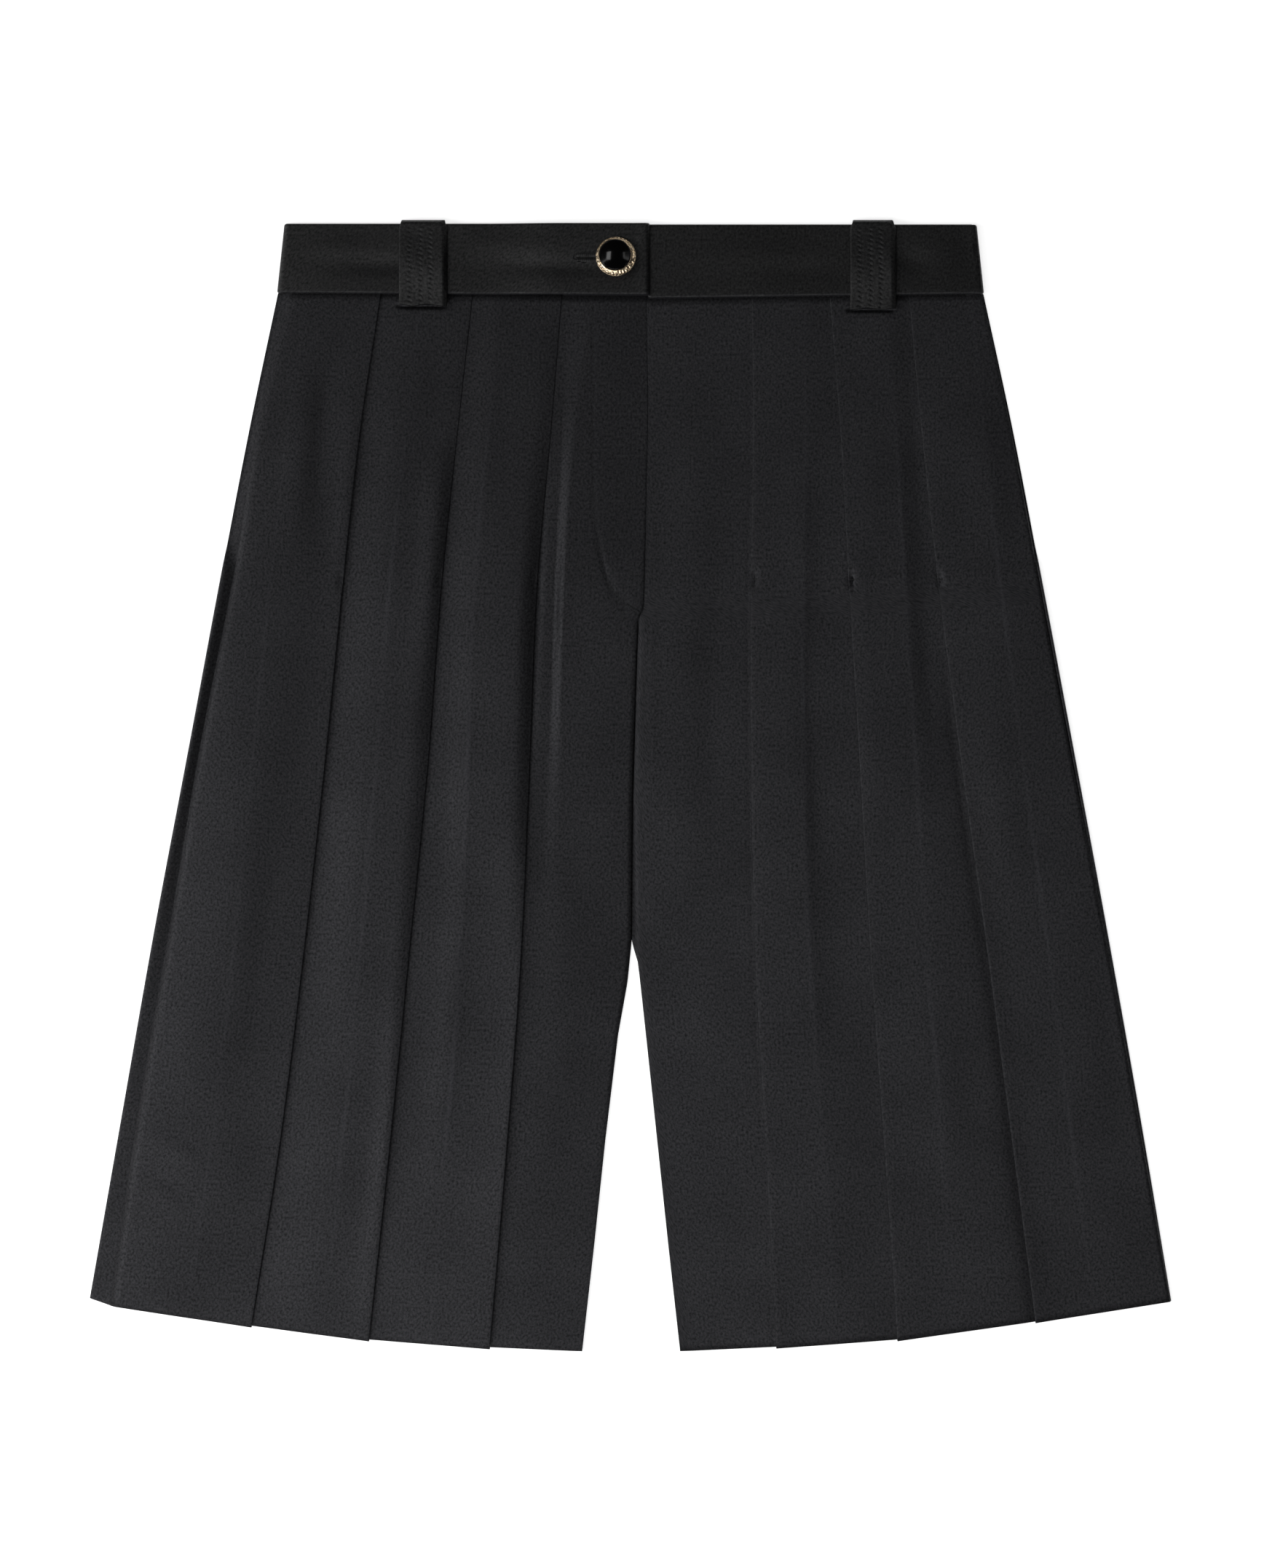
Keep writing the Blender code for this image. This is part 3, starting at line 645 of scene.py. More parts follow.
def back_section(leg, rows, wall):
    """The back's line of cloth: along the surface from its inner edge, up round the side, and in
    under the front's side fold. Where the side is open its crest stands up by its rise, and falls
    by a soft step into the side pleat. Above that it slopes down, as it is sewn to the front."""
    section = Section(rows)
    radius = (LOW - wall / 2) / 2
    outline = edge(leg.outline, rows) - radius - wall / 2
    wrap_end = edge(leg.side_fold, rows) - LAYER - place(SIDE_DEPTH, rows)
    opened = smooth((rows - SIDE_OPENS[0]) / (SIDE_OPENS[1] - SIDE_OPENS[0]))
    rise = place(SIDE_RISE, rows) * opened - SIDE_SLOPE * (1 - opened)
    crest = LOW + rise
    opening = (outline - edge(leg.side_fold, rows) + SIDE_SHOWS)[:, None]
    parted = smooth((rows - LEGS_PART[0]) / (LEGS_PART[1] - LEGS_PART[0]))
    inner = CLOSED / 2 * (1 - parted) + (np.maximum(inner_edge(leg, rows), 0) + BACK_INSET) * parted
    short = np.append(np.full(BACK_STEPS, HEM_STEP), 0.0)
    section.run(inner, outline, lambda way, out: wall / 2, BACK_STEPS, short)
    section.fold(outline, wall / 2, crest, 1, upwards=True, radius=radius)
    fall = (rise + place(SIDE_SINK, rows) * opened)[:, None]
    falling = np.linspace(0, 1, 12)[:, None] * opening.T
    into = np.concatenate([falling, (outline - wrap_end)[None]]).T
    section.add(outline[:, None] - into, crest[:, None] - fall * smooth(into / opening), 0.0, 0.0)
    return section


def off_path(x, y, path):
    """The distance from places to a line of points."""
    nearest = np.full_like(x, np.inf)
    for start, end in zip(np.array(path[:-1]), np.array(path[1:])):
        line = end - start
        way = np.clip(((x - start[0]) * line[0] + (y - start[1]) * line[1]) / (line @ line), 0, 1)
        off_x, off_y = x - start[0] - way * line[0], y - start[1] - way * line[1]
        nearest = np.minimum(nearest, np.hypot(off_x, off_y))
    return nearest


def creased(leg, points):
    """Adds the leg's creases to the heights. A crease is height · exp(−(d / width)²), with d the
    distance from its bowed line, and fades in and out over its ends. The grooves along the fly's
    stitching and under the loops' ends, the dips beside the folds and the nicks where the pleats'
    stitching ends have the same form. They move a layer by the more the higher it lies, so that
    layers stay apart and the lowest one stays flat. The cloth also sinks in at the band."""
    x, y, z = points[..., 0], points[..., 1], points[..., 2]
    rise = np.zeros_like(z)
    for x0, y0, x1, y1, width, height, bow in CREASES[leg.side]:
        start = np.array((x0, y0))
        line = np.array((x1, y1)) - start
        length = np.hypot(*line)
        line = line / length
        way = ((x - start[0]) * line[0] + (y - start[1]) * line[1]) / length
        off = (x - start[0]) * -line[1] + (y - start[1]) * line[0]
        off = off - bow * 4 * way * (1 - way)
        ends = smooth(way / 0.35) * smooth((1 - way) / 0.45)
        rise += height * ends * bump(off, width)
    if leg is RIGHT:
        round_foot = smooth((FLY_TURNS[0] - y) / (FLY_TURNS[0] - FLY_TURNS[1]))
        groove = FLY_GROOVE + FLY_GROOVE_LOW * round_foot
        rise -= groove * bump(off_path(x, y, FLY_STITCH), FLY_GROOVE_WIDTH)
    for loop in LOOPS:
        foot = WAIST_SEAM - loop.hang + 0.2
        under = ((loop.middle - loop.width / 2, foot), (loop.middle + loop.width / 2 + 1, foot))
        rise -= LOOP_GROOVE * bump(off_path(x, y, under), LOOP_GROOVE_WIDTH)
    down = np.clip((WAIST_SEAM - y) / (WAIST_SEAM - HEM), 0, 1)
    for line, dip in zip(leg.pleats, leg.dips):
        rise -= place(dip, down) * bump(leg.side * x - edge(line, down) + DIP_AT, DIP_WIDTH)
        nick_x = leg.side * (edge(line, STITCH_END) + NICK_AT)
        away = np.hypot(x - nick_x, (y - STITCH_END_Y) / 1.2)
        rise -= leg.nick * bump(away, NICK_WIDTH)
    rise += UNEVEN * np.sin(x / 9.0 + 1.3 * np.sin(y / 31.0)) * np.sin(y / 43.0 + leg.side)
    share = np.clip((z - 1.0) / (HIGH - 1.0), 0, 1)
    seam = waist_seam(leg.side, x)
    moved = points.copy()
    moved[..., 2] = z + rise * share - SEAM_SINK * (1 - smooth((seam - y) / SEAM_WIDTH))
    return moved


# ---------------------------------------------------------------- meshes

RIM = (0.04, 0.15, 0.38, 0.7, 1.0)  # lines along a border, in halves of the wall


def rimmed(grid, half):
    """Adds lines close inside all four borders, on which the wall is rounded off. They lie within
    half a wall, or within 0.8 of the way to the next line if that is less."""
    for axis in (0, 1):
        grid = np.swapaxes(grid, 0, axis)
        for _ in range(2):
            grid = grid[::-1]
            step = np.linalg.norm((grid[1] - grid[0])[:, :3], axis=-1)[:, None]
            reach = np.minimum(half, 0.8 * step) / step
            near = [grid[0] + (grid[1] - grid[0]) * share * reach for share in RIM]
            grid = np.concatenate([grid[:1], near, grid[1:]])
        grid = np.swapaxes(grid, 0, axis)
    return grid


def travelled(grid, axis):
    """The length along the lines of a grid, from 0 at their first point."""
    steps = np.linalg.norm(np.diff(grid[..., :3], axis=axis), axis=-1)
    zero = np.zeros_like(np.take(steps, [0], axis=axis))
    return np.cumsum(np.concatenate([zero, steps], axis=axis), axis=axis)


def cloth_wall(name, middle, wall, material):
    """A closed wall of cloth, of one thickness or one for each row. The grid of rows by stations is
    moved by half a wall to each side, square to itself. Near its borders the half is
    h · √(1 − (1 − d / h)²) at a distance d, so the edge is round, and both sheets share the points
    of the border. A fourth value of a point, how strongly a highlight is painted there, is kept as
    a point attribute, and the lengths along the cloth are the UV map `cloth`, in metres."""
    halves = np.broadcast_to(np.reshape(wall, (-1, 1, 1)) / 2, (*middle.shape[:2], 1))
    grid = rimmed(np.concatenate([middle, halves], axis=-1), np.min(wall) / 2)
    half = grid[..., 4]
    rows, stations = grid.shape[:2]
    u, v = travelled(grid, 1), travelled(grid, 0)
    inset = np.minimum.reduce([u, u[:, -1:] - u, v, v[-1:] - v])
    thick = half * np.sqrt(1 - (1 - np.clip(inset / half, 0, 1)) ** 2)
    square = np.cross(np.gradient(grid[..., :3], axis=1), np.gradient(grid[..., :3], axis=0))
    square /= np.linalg.norm(square, axis=-1, keepdims=True)
    moved = square * thick[..., None]
    points = np.concatenate([grid[..., :3] + moved, grid[..., :3] - moved]).reshape(-1, 3)
    index = np.arange(rows * stations).reshape(rows, stations)
    under = index + rows * stations
    for border in (np.s_[0], np.s_[-1], np.s_[:, 0], np.s_[:, -1]):
        under[border] = index[border]
    quads = [sheet_quads(index), sheet_quads(under)[:, ::-1]]
    used, faces = np.unique(np.concatenate(quads), return_inverse=True)
    faces = faces.reshape(-1, 4)
    uv = np.stack([u - u[:, -1:], v], axis=-1).reshape(-1, 2)
    uv = np.concatenate([uv, uv])[used] * MM
    ironed = np.concatenate([grid[..., 3].ravel()] * 2)[used]
    made = solid(name, points[used], faces, material)
    corners = np.empty(len(made.data.loops), np.int32)
    made.data.loops.foreach_get("vertex_index", corners)
    layer = made.data.uv_layers.new(name="cloth")
    layer.uv.foreach_set("vector", uv[corners].astype(np.float32).ravel())
    # The painted highlight, which the satin shader turns into a lighter colour
    attribute = made.data.attributes.new("ironed", "FLOAT", "POINT")
    attribute.data.foreach_set("value", ironed.astype(np.float32))
    return made


def sheet_quads(index):
    """The quads between neighbouring rows and columns of a grid of point numbers."""
    corners = (index[:-1, :-1], index[:-1, 1:], index[1:, 1:], index[1:, :-1])
    return np.stack(corners, axis=-1).reshape(-1, 4)


def made_object(name, points, faces, material):
    """A smooth mesh object from points in millimetres."""
    mesh = bpy.data.meshes.new(name)
    mesh.from_pydata((points * MM).tolist(), [], faces)
    mesh.materials.append(material)
    mesh.shade_smooth()
    made = bpy.data.objects.new(name, mesh)
    bpy.context.scene.collection.objects.link(made)
    return made


def solid(name, points, faces, material):
    """A closed object with its faces turned outwards. A quad that has two corners in one point
    becomes a triangle."""
    corners = points[faces[:, :3]]
    inside_out = np.linalg.det(corners - points.mean(axis=0)).sum() < 0
    faces = (faces[:, ::-1] if inside_out else faces).tolist()
    return made_object(name, points, [list(dict.fromkeys(face)) for face in faces], material)


def turned(name, rings, inward, material):
    """A solid turned about the button's upright axis, then leaned as the button hangs. `rings` is a
    grid, of points round by points of the profile, of radius and height, and its first and last
    profile points lie on the axis. `inward` is how much of the setting's offset a point shares."""
    around, steps = rings.shape[:2]
    angle = np.linspace(0, 2 * np.pi, around, endpoint=False)[:, None]
    x = rings[..., 0] * np.cos(angle) + inward * SETTING_OFFSET[0]
    y = rings[..., 0] * np.sin(angle) + inward * SETTING_OFFSET[1]
    lean = BUTTON_LEAN[0] * x + BUTTON_LEAN[1] * y
    height = rings[..., 1] + lean
    points = np.stack([BUTTON_AT[0] + x, BUTTON_AT[1] + y, height], axis=-1).reshape(-1, 3)
    index = np.arange(around * steps).reshape(around, steps)
    index[:, 0] = index[0, 0]
    index[:, -1] = index[0, -1]
    faces = sheet_quads(np.concatenate([index, index[:1]]))
    used, faces = np.unique(faces, return_inverse=True)
    return solid(name, points[used], faces.reshape(-1, 4), material)


def threads(name, starts, ends, thickness, arch, material):
    """Stitches as one mesh of beads. Each is a tube from its start to its end, of radius
    t/2 · (sin πs)^½, whose middle is raised by `arch` at s = ½."""
    starts, ends = np.asarray(starts, float), np.asarray(ends, float)
    way = np.linspace(0, 1, THREAD_RINGS + 2)[1:-1]
    line = ends - starts
    along = line / np.linalg.norm(line, axis=1, keepdims=True)
    across = np.cross(along, (0, 0, 1.0))
    across /= np.linalg.norm(across, axis=1, keepdims=True)
    up = np.cross(across, along)
    angle = np.linspace(0, 2 * np.pi, THREAD_SIDES, endpoint=False)
    radius = thickness / 2 * np.sin(np.pi * way) ** 0.5
    arched = (arch * np.sin(np.pi * way))[:, None] * (0, 0, 1.0)
    centre = starts[:, None] + line[:, None] * way[:, None] + arched
    around = np.cos(angle)[:, None], np.sin(angle)[:, None]
    ring = across[:, None, None] * around[0] + up[:, None, None] * around[1]
    body = (centre[:, :, None] + radius[None, :, None, None] * ring).reshape(len(starts), -1, 3)
    points = np.concatenate([body, starts[:, None], ends[:, None]], axis=1)
    size = points.shape[1]
    index = np.arange(size - 2).reshape(THREAD_RINGS, THREAD_SIDES)
    closed = np.concatenate([index, index[:, :1]], axis=1)
    tips = [(size - 2, b, a) for a, b in zip(closed[0], closed[0, 1:])]
    tips += [(size - 1, a, b) for a, b in zip(closed[-1], closed[-1, 1:])]
    shift = np.arange(len(starts))[:, None, None] * size
    quads = (sheet_quads(closed)[None, :, ::-1] + shift).reshape(-1, 4).tolist()
    caps = (np.array(tips)[None, :, ::-1] + shift).reshape(-1, 3).tolist()
    return made_object(name, points.reshape(-1, 3), quads + caps, material)


def dropped(places, pieces, lift):
    """Puts places (x, y) in millimetres on the highest of some pieces below them."""
    trees = []
    for piece in pieces:
        points = [vertex.co for vertex in piece.data.vertices]
        trees.append(BVHTree.FromPolygons(points, [face.vertices for face in piece.data.polygons]))
    down = Vector((0, 0, -1))
    found = []
    for x, y in places:
        heights = [tree.ray_cast(Vector((x * MM, y * MM, 1.0)), down)[0] for tree in trees]
        heights = [hit.z / MM for hit in heights if hit is not None]
        if not heights:
            raise RuntimeError(f"there is no cloth under ({x:.1f}, {y:.1f})")
        found.append((x, y, max(heights) + lift))
    return np.array(found)


# ---------------------------------------------------------------- materials


def linear(colour):
    """Turns an sRGB hex colour into linear red, green and blue, with alpha 1."""
    parts = np.array([int(colour[at : at + 2], 16) for at in (1, 3, 5)]) / 255
    parts = np.where(parts <= 0.04045, parts / 12.92, ((parts + 0.055) / 1.055) ** 2.4)
    return (*parts.tolist(), 1.0)


def add(tree, kind, inputs=(), **settings):
    """Adds a node, with its settings, and with its inputs as values or as sockets to link from."""
    node = tree.nodes.new(f"ShaderNode{kind}")
    for name, value in settings.items():
        setattr(node, name, value)
    for name, value in dict(inputs).items():
        if isinstance(value, bpy.types.NodeSocket):
            tree.links.new(value, node.inputs[name])
        else:
            node.inputs[name].default_value = value
    return node


def started(name):
    """A new material and its node tree, still empty."""
    material = bpy.data.materials.new(name)
    material.use_nodes = True
    tree = material.node_tree
    tree.nodes.clear()
    return material, tree


def satin(name, settings, tint="#F4F4FC"):
    """Black cotton satin twill, woven so that most of its surface is lengthwise floats, dyed in the
    piece and pressed. That gives a near-black with a soft, broad sheen that glitters a little from
    float to float. A lighter colour is painted on as a highlight along the iron's lines over the
    fold below and along the band's lower edge."""
    material, tree = started(name)
    cloth = add(tree, "UVMap", uv_map="cloth").outputs["UV"]
    # The real twill's lines are 0.3 mm apart and its floats 0.5 mm. The lines are drawn that far
    # apart, for close views, and the floats' glitter 1.3 mm across, which is as fine as shows.
    twill = add(tree, "TexWave", {
        "Vector": cloth, "Scale": 1400.0, "Distortion": 1.0,
    }, bands_direction="DIAGONAL")
    along = add(tree, "Mapping", {"Vector": cloth, "Scale": (1.15, 0.9, 1.0)})
    floats = add(tree, "TexNoise", {
        "Vector": along.outputs["Vector"], "Scale": 780.0, "Detail": 2.0, "Roughness": 0.6,
    })
    # Uneven dye and handling, 40 mm across
    cast = add(tree, "TexNoise", {"Vector": cloth, "Scale": 25.0, "Detail": 3.0})
    # Painted highlight: the colour is lighter along the pressed lines and the band's lower edge
    painted_highlight_share = add(tree, "Attribute", attribute_name="ironed").outputs["Fac"]
    painted_highlight_colour = add(tree, "Mix", {
        "Factor": painted_highlight_share, "A": linear("#0E0E0F"), "B": linear("#2A2A2D"),
    }, data_type="RGBA")
    glitter = add(tree, "MapRange", {
        "Value": floats.outputs["Fac"], "From Min": 0.25, "From Max": 0.75,
        "To Min": 0.5 - settings.glitter, "To Max": 0.5 + settings.glitter,
    })
    worn = add(tree, "MapRange", {
        "Value": cast.outputs["Fac"], "From Min": 0.3, "From Max": 0.7,
        "To Min": 0.9, "To Max": 1.1,
    })
    level = add(tree, "Math", {
        0: glitter.outputs["Result"], 1: worn.outputs["Result"],
    }, operation="MULTIPLY")
    relief = add(tree, "Bump", {
        "Height": twill.outputs["Fac"], "Strength": settings.weave, "Distance": 0.0001,
    })
    shader = add(tree, "BsdfPrincipled", {
        "Base Color": painted_highlight_colour.outputs["Result"],
        "Roughness": settings.roughness,
        "IOR": 1.5,
        "Specular IOR Level": level.outputs["Value"],
        "Specular Tint": linear(tint),
        "Normal": relief.outputs["Normal"],
    })
    add(tree, "OutputMaterial", {"Surface": shader.outputs["BSDF"]})
    return material


def sewing_thread(name):
    """Black spun polyester thread: a dull twist, with a highlight painted on each turn."""
    material, tree = started(name)
    at = add(tree, "TexCoord").outputs["Object"]
    # The twist of the plies, about 0.6 mm apart
    twist = add(tree, "TexWave", {"Vector": at, "Scale": 628.0}, bands_direction="DIAGONAL")
    # Painted highlight: each turn of the twist is lighter, where a ply would catch the light
    tone = add(tree, "Mix", {
        "Factor": twist.outputs["Fac"], "A": linear("#0C0C0E"), "B": linear("#17171A"),
    }, data_type="RGBA")
    shader = add(tree, "BsdfPrincipled", {
        "Base Color": tone.outputs["Result"], "Roughness": 0.5, "IOR": 1.5,
    })
    add(tree, "OutputMaterial", {"Surface": shader.outputs["BSDF"]})
    return material


def gold_plate(name):
    """Die-cast zinc with a warm gold plating, its hammer marks cast in. The plating is uneven, so
    the mirror-like metal is paler in some spots than in others."""
    material, tree = started(name)
    at = add(tree, "TexCoord").outputs["Object"]
    # Hammer marks 1.2 mm across
    marks = add(tree, "TexVoronoi", {"Vector": at, "Scale": 850.0}, feature="SMOOTH_F1")
    tarnish = add(tree, "TexNoise", {"Vector": at, "Scale": 420.0, "Detail": 4.0})
    tone = add(tree, "Mix", {
        "Factor": tarnish.outputs["Fac"], "A": linear("#E0BC8A"), "B": linear("#FFF2DC"),
    }, data_type="RGBA")
    relief = add(tree, "Bump", {
        "Height": marks.outputs["Distance"], "Strength": 0.08, "Distance": 0.0003,
    })
    shader = add(tree, "BsdfPrincipled", {
        "Base Color": tone.outputs["Result"], "Metallic": 1.0, "Roughness": 0.26,
        "Normal": relief.outputs["Normal"],
    })
    add(tree, "OutputMaterial", {"Surface": shader.outputs["BSDF"]})
    return material


def polished_resin(name):
    """Cast black resin, tumbled to a high polish, so it mirrors the lamps."""
    material, tree = started(name)
    at = add(tree, "TexCoord").outputs["Object"]
    # Fine tumbling marks, 2 mm across
    haze = add(tree, "TexNoise", {"Vector": at, "Scale": 500.0, "Detail": 3.0})
    rough = add(tree, "MapRange", {
        "Value": haze.outputs["Fac"], "To Min": 0.07, "To Max": 0.14,
    })
    shader = add(tree, "BsdfPrincipled", {
        "Base Color": linear("#050506"), "Roughness": rough.outputs["Result"], "IOR": 1.54,
    })
    add(tree, "OutputMaterial", {"Surface": shader.outputs["BSDF"]})
    return material


def white_card(name):
    """Matt white background card, with a faint unevenness of its coating."""
    material, tree = started(name)
    at = add(tree, "TexCoord").outputs["Object"]
    coat = add(tree, "TexNoise", {"Vector": at, "Scale": 6.0, "Detail": 2.0})
    tone = add(tree, "Mix", {
        "Factor": coat.outputs["Fac"], "A": linear("#F2F2F1"), "B": linear("#F6F6F5"),
    }, data_type="RGBA")
    shader = add(tree, "BsdfPrincipled", {
        "Base Color": tone.outputs["Result"], "Roughness": 0.9,
        "Emission Color": linear("#FFFFFF"), "Emission Strength": 0.75,
    })
    add(tree, "OutputMaterial", {"Surface": shader.outputs["BSDF"]})
    return material


# ---------------------------------------------------------------- what a user may change


class ShortsCloth(bpy.types.PropertyGroup):
    """Sizes and finish of the cloth."""

    wall: FloatProperty(
        name="Wall", description="Thickness of one layer of the legs' cloth", default=0.0005,
        min=0.0003, max=0.001, unit="LENGTH",
    )
    roughness: FloatProperty(
        name="Roughness", description="How far the satin scatters its sheen", default=0.5,
        min=0.2, max=0.8, subtype="FACTOR",
    )
    weave: FloatProperty(
        name="Weave", description="How deep the twill looks", default=0.3, min=0.0, max=1.0,
        subtype="FACTOR",
    )
    glitter: FloatProperty(
        name="Glitter", description="How unevenly the floats shine", default=0.34, min=0.0, max=0.5,
        subtype="FACTOR",
    )


class ShortsStitching(bpy.types.PropertyGroup):
    """Sizes of the sewing thread."""

    thickness: FloatProperty(
        name="Thread", description="Thickness of the thread", default=0.00035, min=0.0002,
        max=0.0008, unit="LENGTH",
    )
    length: FloatProperty(
        name="Stitch", description="Length of a lockstitch", default=0.0026, min=0.0015, max=0.005,
        unit="LENGTH",
    )


class ShortsStage(bpy.types.PropertyGroup):
    """The surface, the lamps and the camera."""

    height: FloatProperty(
        name="Camera height", description="Height of the camera over the cloth", default=2.0,
        min=0.5, max=5.0, unit="LENGTH",
    )
    view: FloatProperty(
        name="Framed length", description="Length of surface that the picture's long side takes in",
        default=0.797, min=0.3, max=2.0, unit="LENGTH",
    )
    surround: FloatVectorProperty(
        name="Surround", description="Colour of the light from all round", default=(1.0, 1.0, 1.0),
        min=0.0, max=1.0, subtype="COLOR",
    )
    surround_strength: FloatProperty(
        name="Surround strength", description="Strength of the light from all round", default=0.01,
        min=0.0, max=3.0,
    )


def cloth_piece(piece, node):
    """Rides on the one body and stands for its CAD node, which it hides."""
    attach(piece, "root")
    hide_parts(node)


def trim(piece):
    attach(piece, "root")


class SHORTS_OT_backs(bpy.types.Operator):
    """Lays the backs of both legs on the surface, each turned up round its side"""

    bl_idname = "shorts.backs"
    bl_label = "Backs"

    def execute(self, context):
        settings = context.scene.shorts_cloth
        wall = settings.wall / MM
        for side, leg in LEGS.items():
            name = f"back_leg_{side}"
            points = laid(leg, BACK_ROWS, back_section(leg, BACK_ROWS, wall), behind=True)
            cloth = satin(f"cotton satin, {side} back", settings)
            piece = cloth_wall(f"{name}_cloth", points, wall, cloth)
            cloth_piece(piece, name)
        return {"FINISHED"}


class SHORTS_OT_fronts(bpy.types.Operator):
    """Lays the pleated fronts of both legs on the backs"""

    bl_idname = "shorts.fronts"
    bl_label = "Pleated fronts"

    def execute(self, context):
        settings = context.scene.shorts_cloth
        wall = settings.wall / MM
        flattened = np.minimum(place(PRESSED_FLAT, FRONT_ROWS), 1)
        for side, leg in LEGS.items():
            name = f"front_leg_{side}"
            points = laid(leg, FRONT_ROWS, front_section(leg, FRONT_ROWS, wall))
            points[..., 2] = LOW + (points[..., 2] - LOW) * flattened[:, None]
            points = creased(leg, points)
            cloth = satin(f"cotton satin, {side} front", settings)
            piece = cloth_wall(f"{name}_cloth", points, wall * flattened, cloth)
            cloth_piece(piece, name)
        return {"FINISHED"}


def band_points():
    """The band's grid: stations along the strip from the overlap's end, over the right front, round
    the side, along the back, round the other side and over the left front to the underlap's end,
    and rows from its lower to its upper edge. A dent is raised · exp(−(dx/wide)² − (dy/high)²). The
    stations' counts are only how finely each stretch is sampled."""
    reach = BAND_LAYER / 2 + BAND_WALL / 2
    side = BAND_HALF_SEAM - reach
    turn = np.linspace(-0.5, 0.5, 11)[1:-1] * np.pi
    middle = (BAND_BACK + BAND_FRONT) / 2
    foot, crown = OVERLAP_RISE
    rolled = np.linspace(OVERLAP_END, OVERLAP_EDGE - 1, 14)
    climbs = np.linspace(rolled[-1], crown, 80)
    right = np.concatenate([rolled[:-1], climbs, np.linspace(crown, -side, 110)[1:]])
    over_fly = np.linspace(UNDERLAP_STEP - GAP, UNDERLAP_END, 20)
    left = np.concatenate([np.linspace(side, UNDERLAP_STEP + GAP, 130), over_fly])
    behind = np.linspace(-side, side, 60)
    bulge = side + BAND_LAYER / 2 * np.cos(turn)
    x = np.concatenate([right, -bulge, behind, bulge, left])
    height = np.concatenate([
        BAND_FRONT
        + (BAND_OVER - BAND_FRONT) * smooth((right - foot) / (crown - foot))
        + OVERLAP_PUFF * smooth((right - 2) / 5)
        - OVERLAP_DROP * np.clip((right - OVERLAP_EDGE + 0.3) / 1.5, 0, 1) ** 1.5,
        middle - BAND_LAYER / 2 * np.sin(turn),
        np.full_like(behind, BAND_BACK),
        middle + BAND_LAYER / 2 * np.sin(turn),
        np.full_like(left, BAND_FRONT),
    ])
    on_left = np.arange(len(x)) >= len(x) - len(left) - len(turn)
    lower = np.where(on_left, waist_seam(LEFT.side, x), waist_seam(RIGHT.side, x))
    hidden = np.s_[len(right):-len(left)]
    backs = [waist_seam(leg.side, x[hidden], behind=True) for leg in LEGS.values()]
    lower[hidden] = np.where(x[hidden] < 0, *backs)
    upper = np.full_like(x, WAIST_SEAM + BAND_HEIGHT)
    upper[on_left] -= UNDERLAP_DROP
    button_row = (BUTTON_AT[1] - WAIST_SEAM) / BAND_HEIGHT
    near = np.linspace(-BUTTON_ROWS_REACH, BUTTON_ROWS_REACH, BUTTON_ROWS)
    coarse = np.linspace(0, 1, BAND_ROWS)
    coarse = coarse[np.abs(coarse - button_row) > BUTTON_ROWS_REACH + 0.01]
    way = np.sort(np.concatenate([coarse, button_row + near]))[:, None]
    taper = 1 + (BAND_HALF_TOP / BAND_HALF_SEAM - 1) * way
    px, py = x * taper, lower + (upper - lower) * way
    pz = height + 0 * way
    front = pz > BAND_FRONT - 0.1
    for dent_x, dent_y, wide, high, raised in DENTS:
        pz = pz + front * raised * bump(px - dent_x, wide) * bump(py - dent_y, high)
    pz = pz + front * BAND_WAVE * np.sin(px / 7.0 + np.sin(py / 5.0)) * np.sin(np.pi * way)
    # A highlight painted along the band's lower edge, where its rolled edge catches the light
    ironed = front * bump(py - lower, BAND_PAINTED_HIGHLIGHT)
    return np.stack([px, py, pz, ironed], axis=-1)


class SHORTS_OT_waistband(bpy.types.Operator):
    """Makes the interlined band with its overlap and worked buttonhole"""

    bl_idname = "shorts.waistband"
    bl_label = "Waistband"

    def execute(self, context):
        points = band_points()
        start, end = SLOT
        x, off = points[..., 0], points[..., 1] - BUTTON_AT[1]
        on_slot = smooth((x - start) / 1.2) * smooth((end - x) / 1.2)
        over = points[..., 2] > BAND_OVER - 0.6
        lips = bump(np.abs(off) - SLOT_LIP_AT, SLOT_LIP_WIDTH)
        points[..., 2] -= over * SLOT_DEPTH * on_slot * bump(off, SLOT_WIDTH)
        points[..., 2] += over * SLOT_LIP * on_slot * lips
        cloth = satin("cotton satin, interlined band", context.scene.shorts_cloth, "#EDEDED")
        piece = cloth_wall("waistband_cloth", points, BAND_WALL, cloth)
        cloth_piece(piece, "waistband")
        return {"FINISHED"}


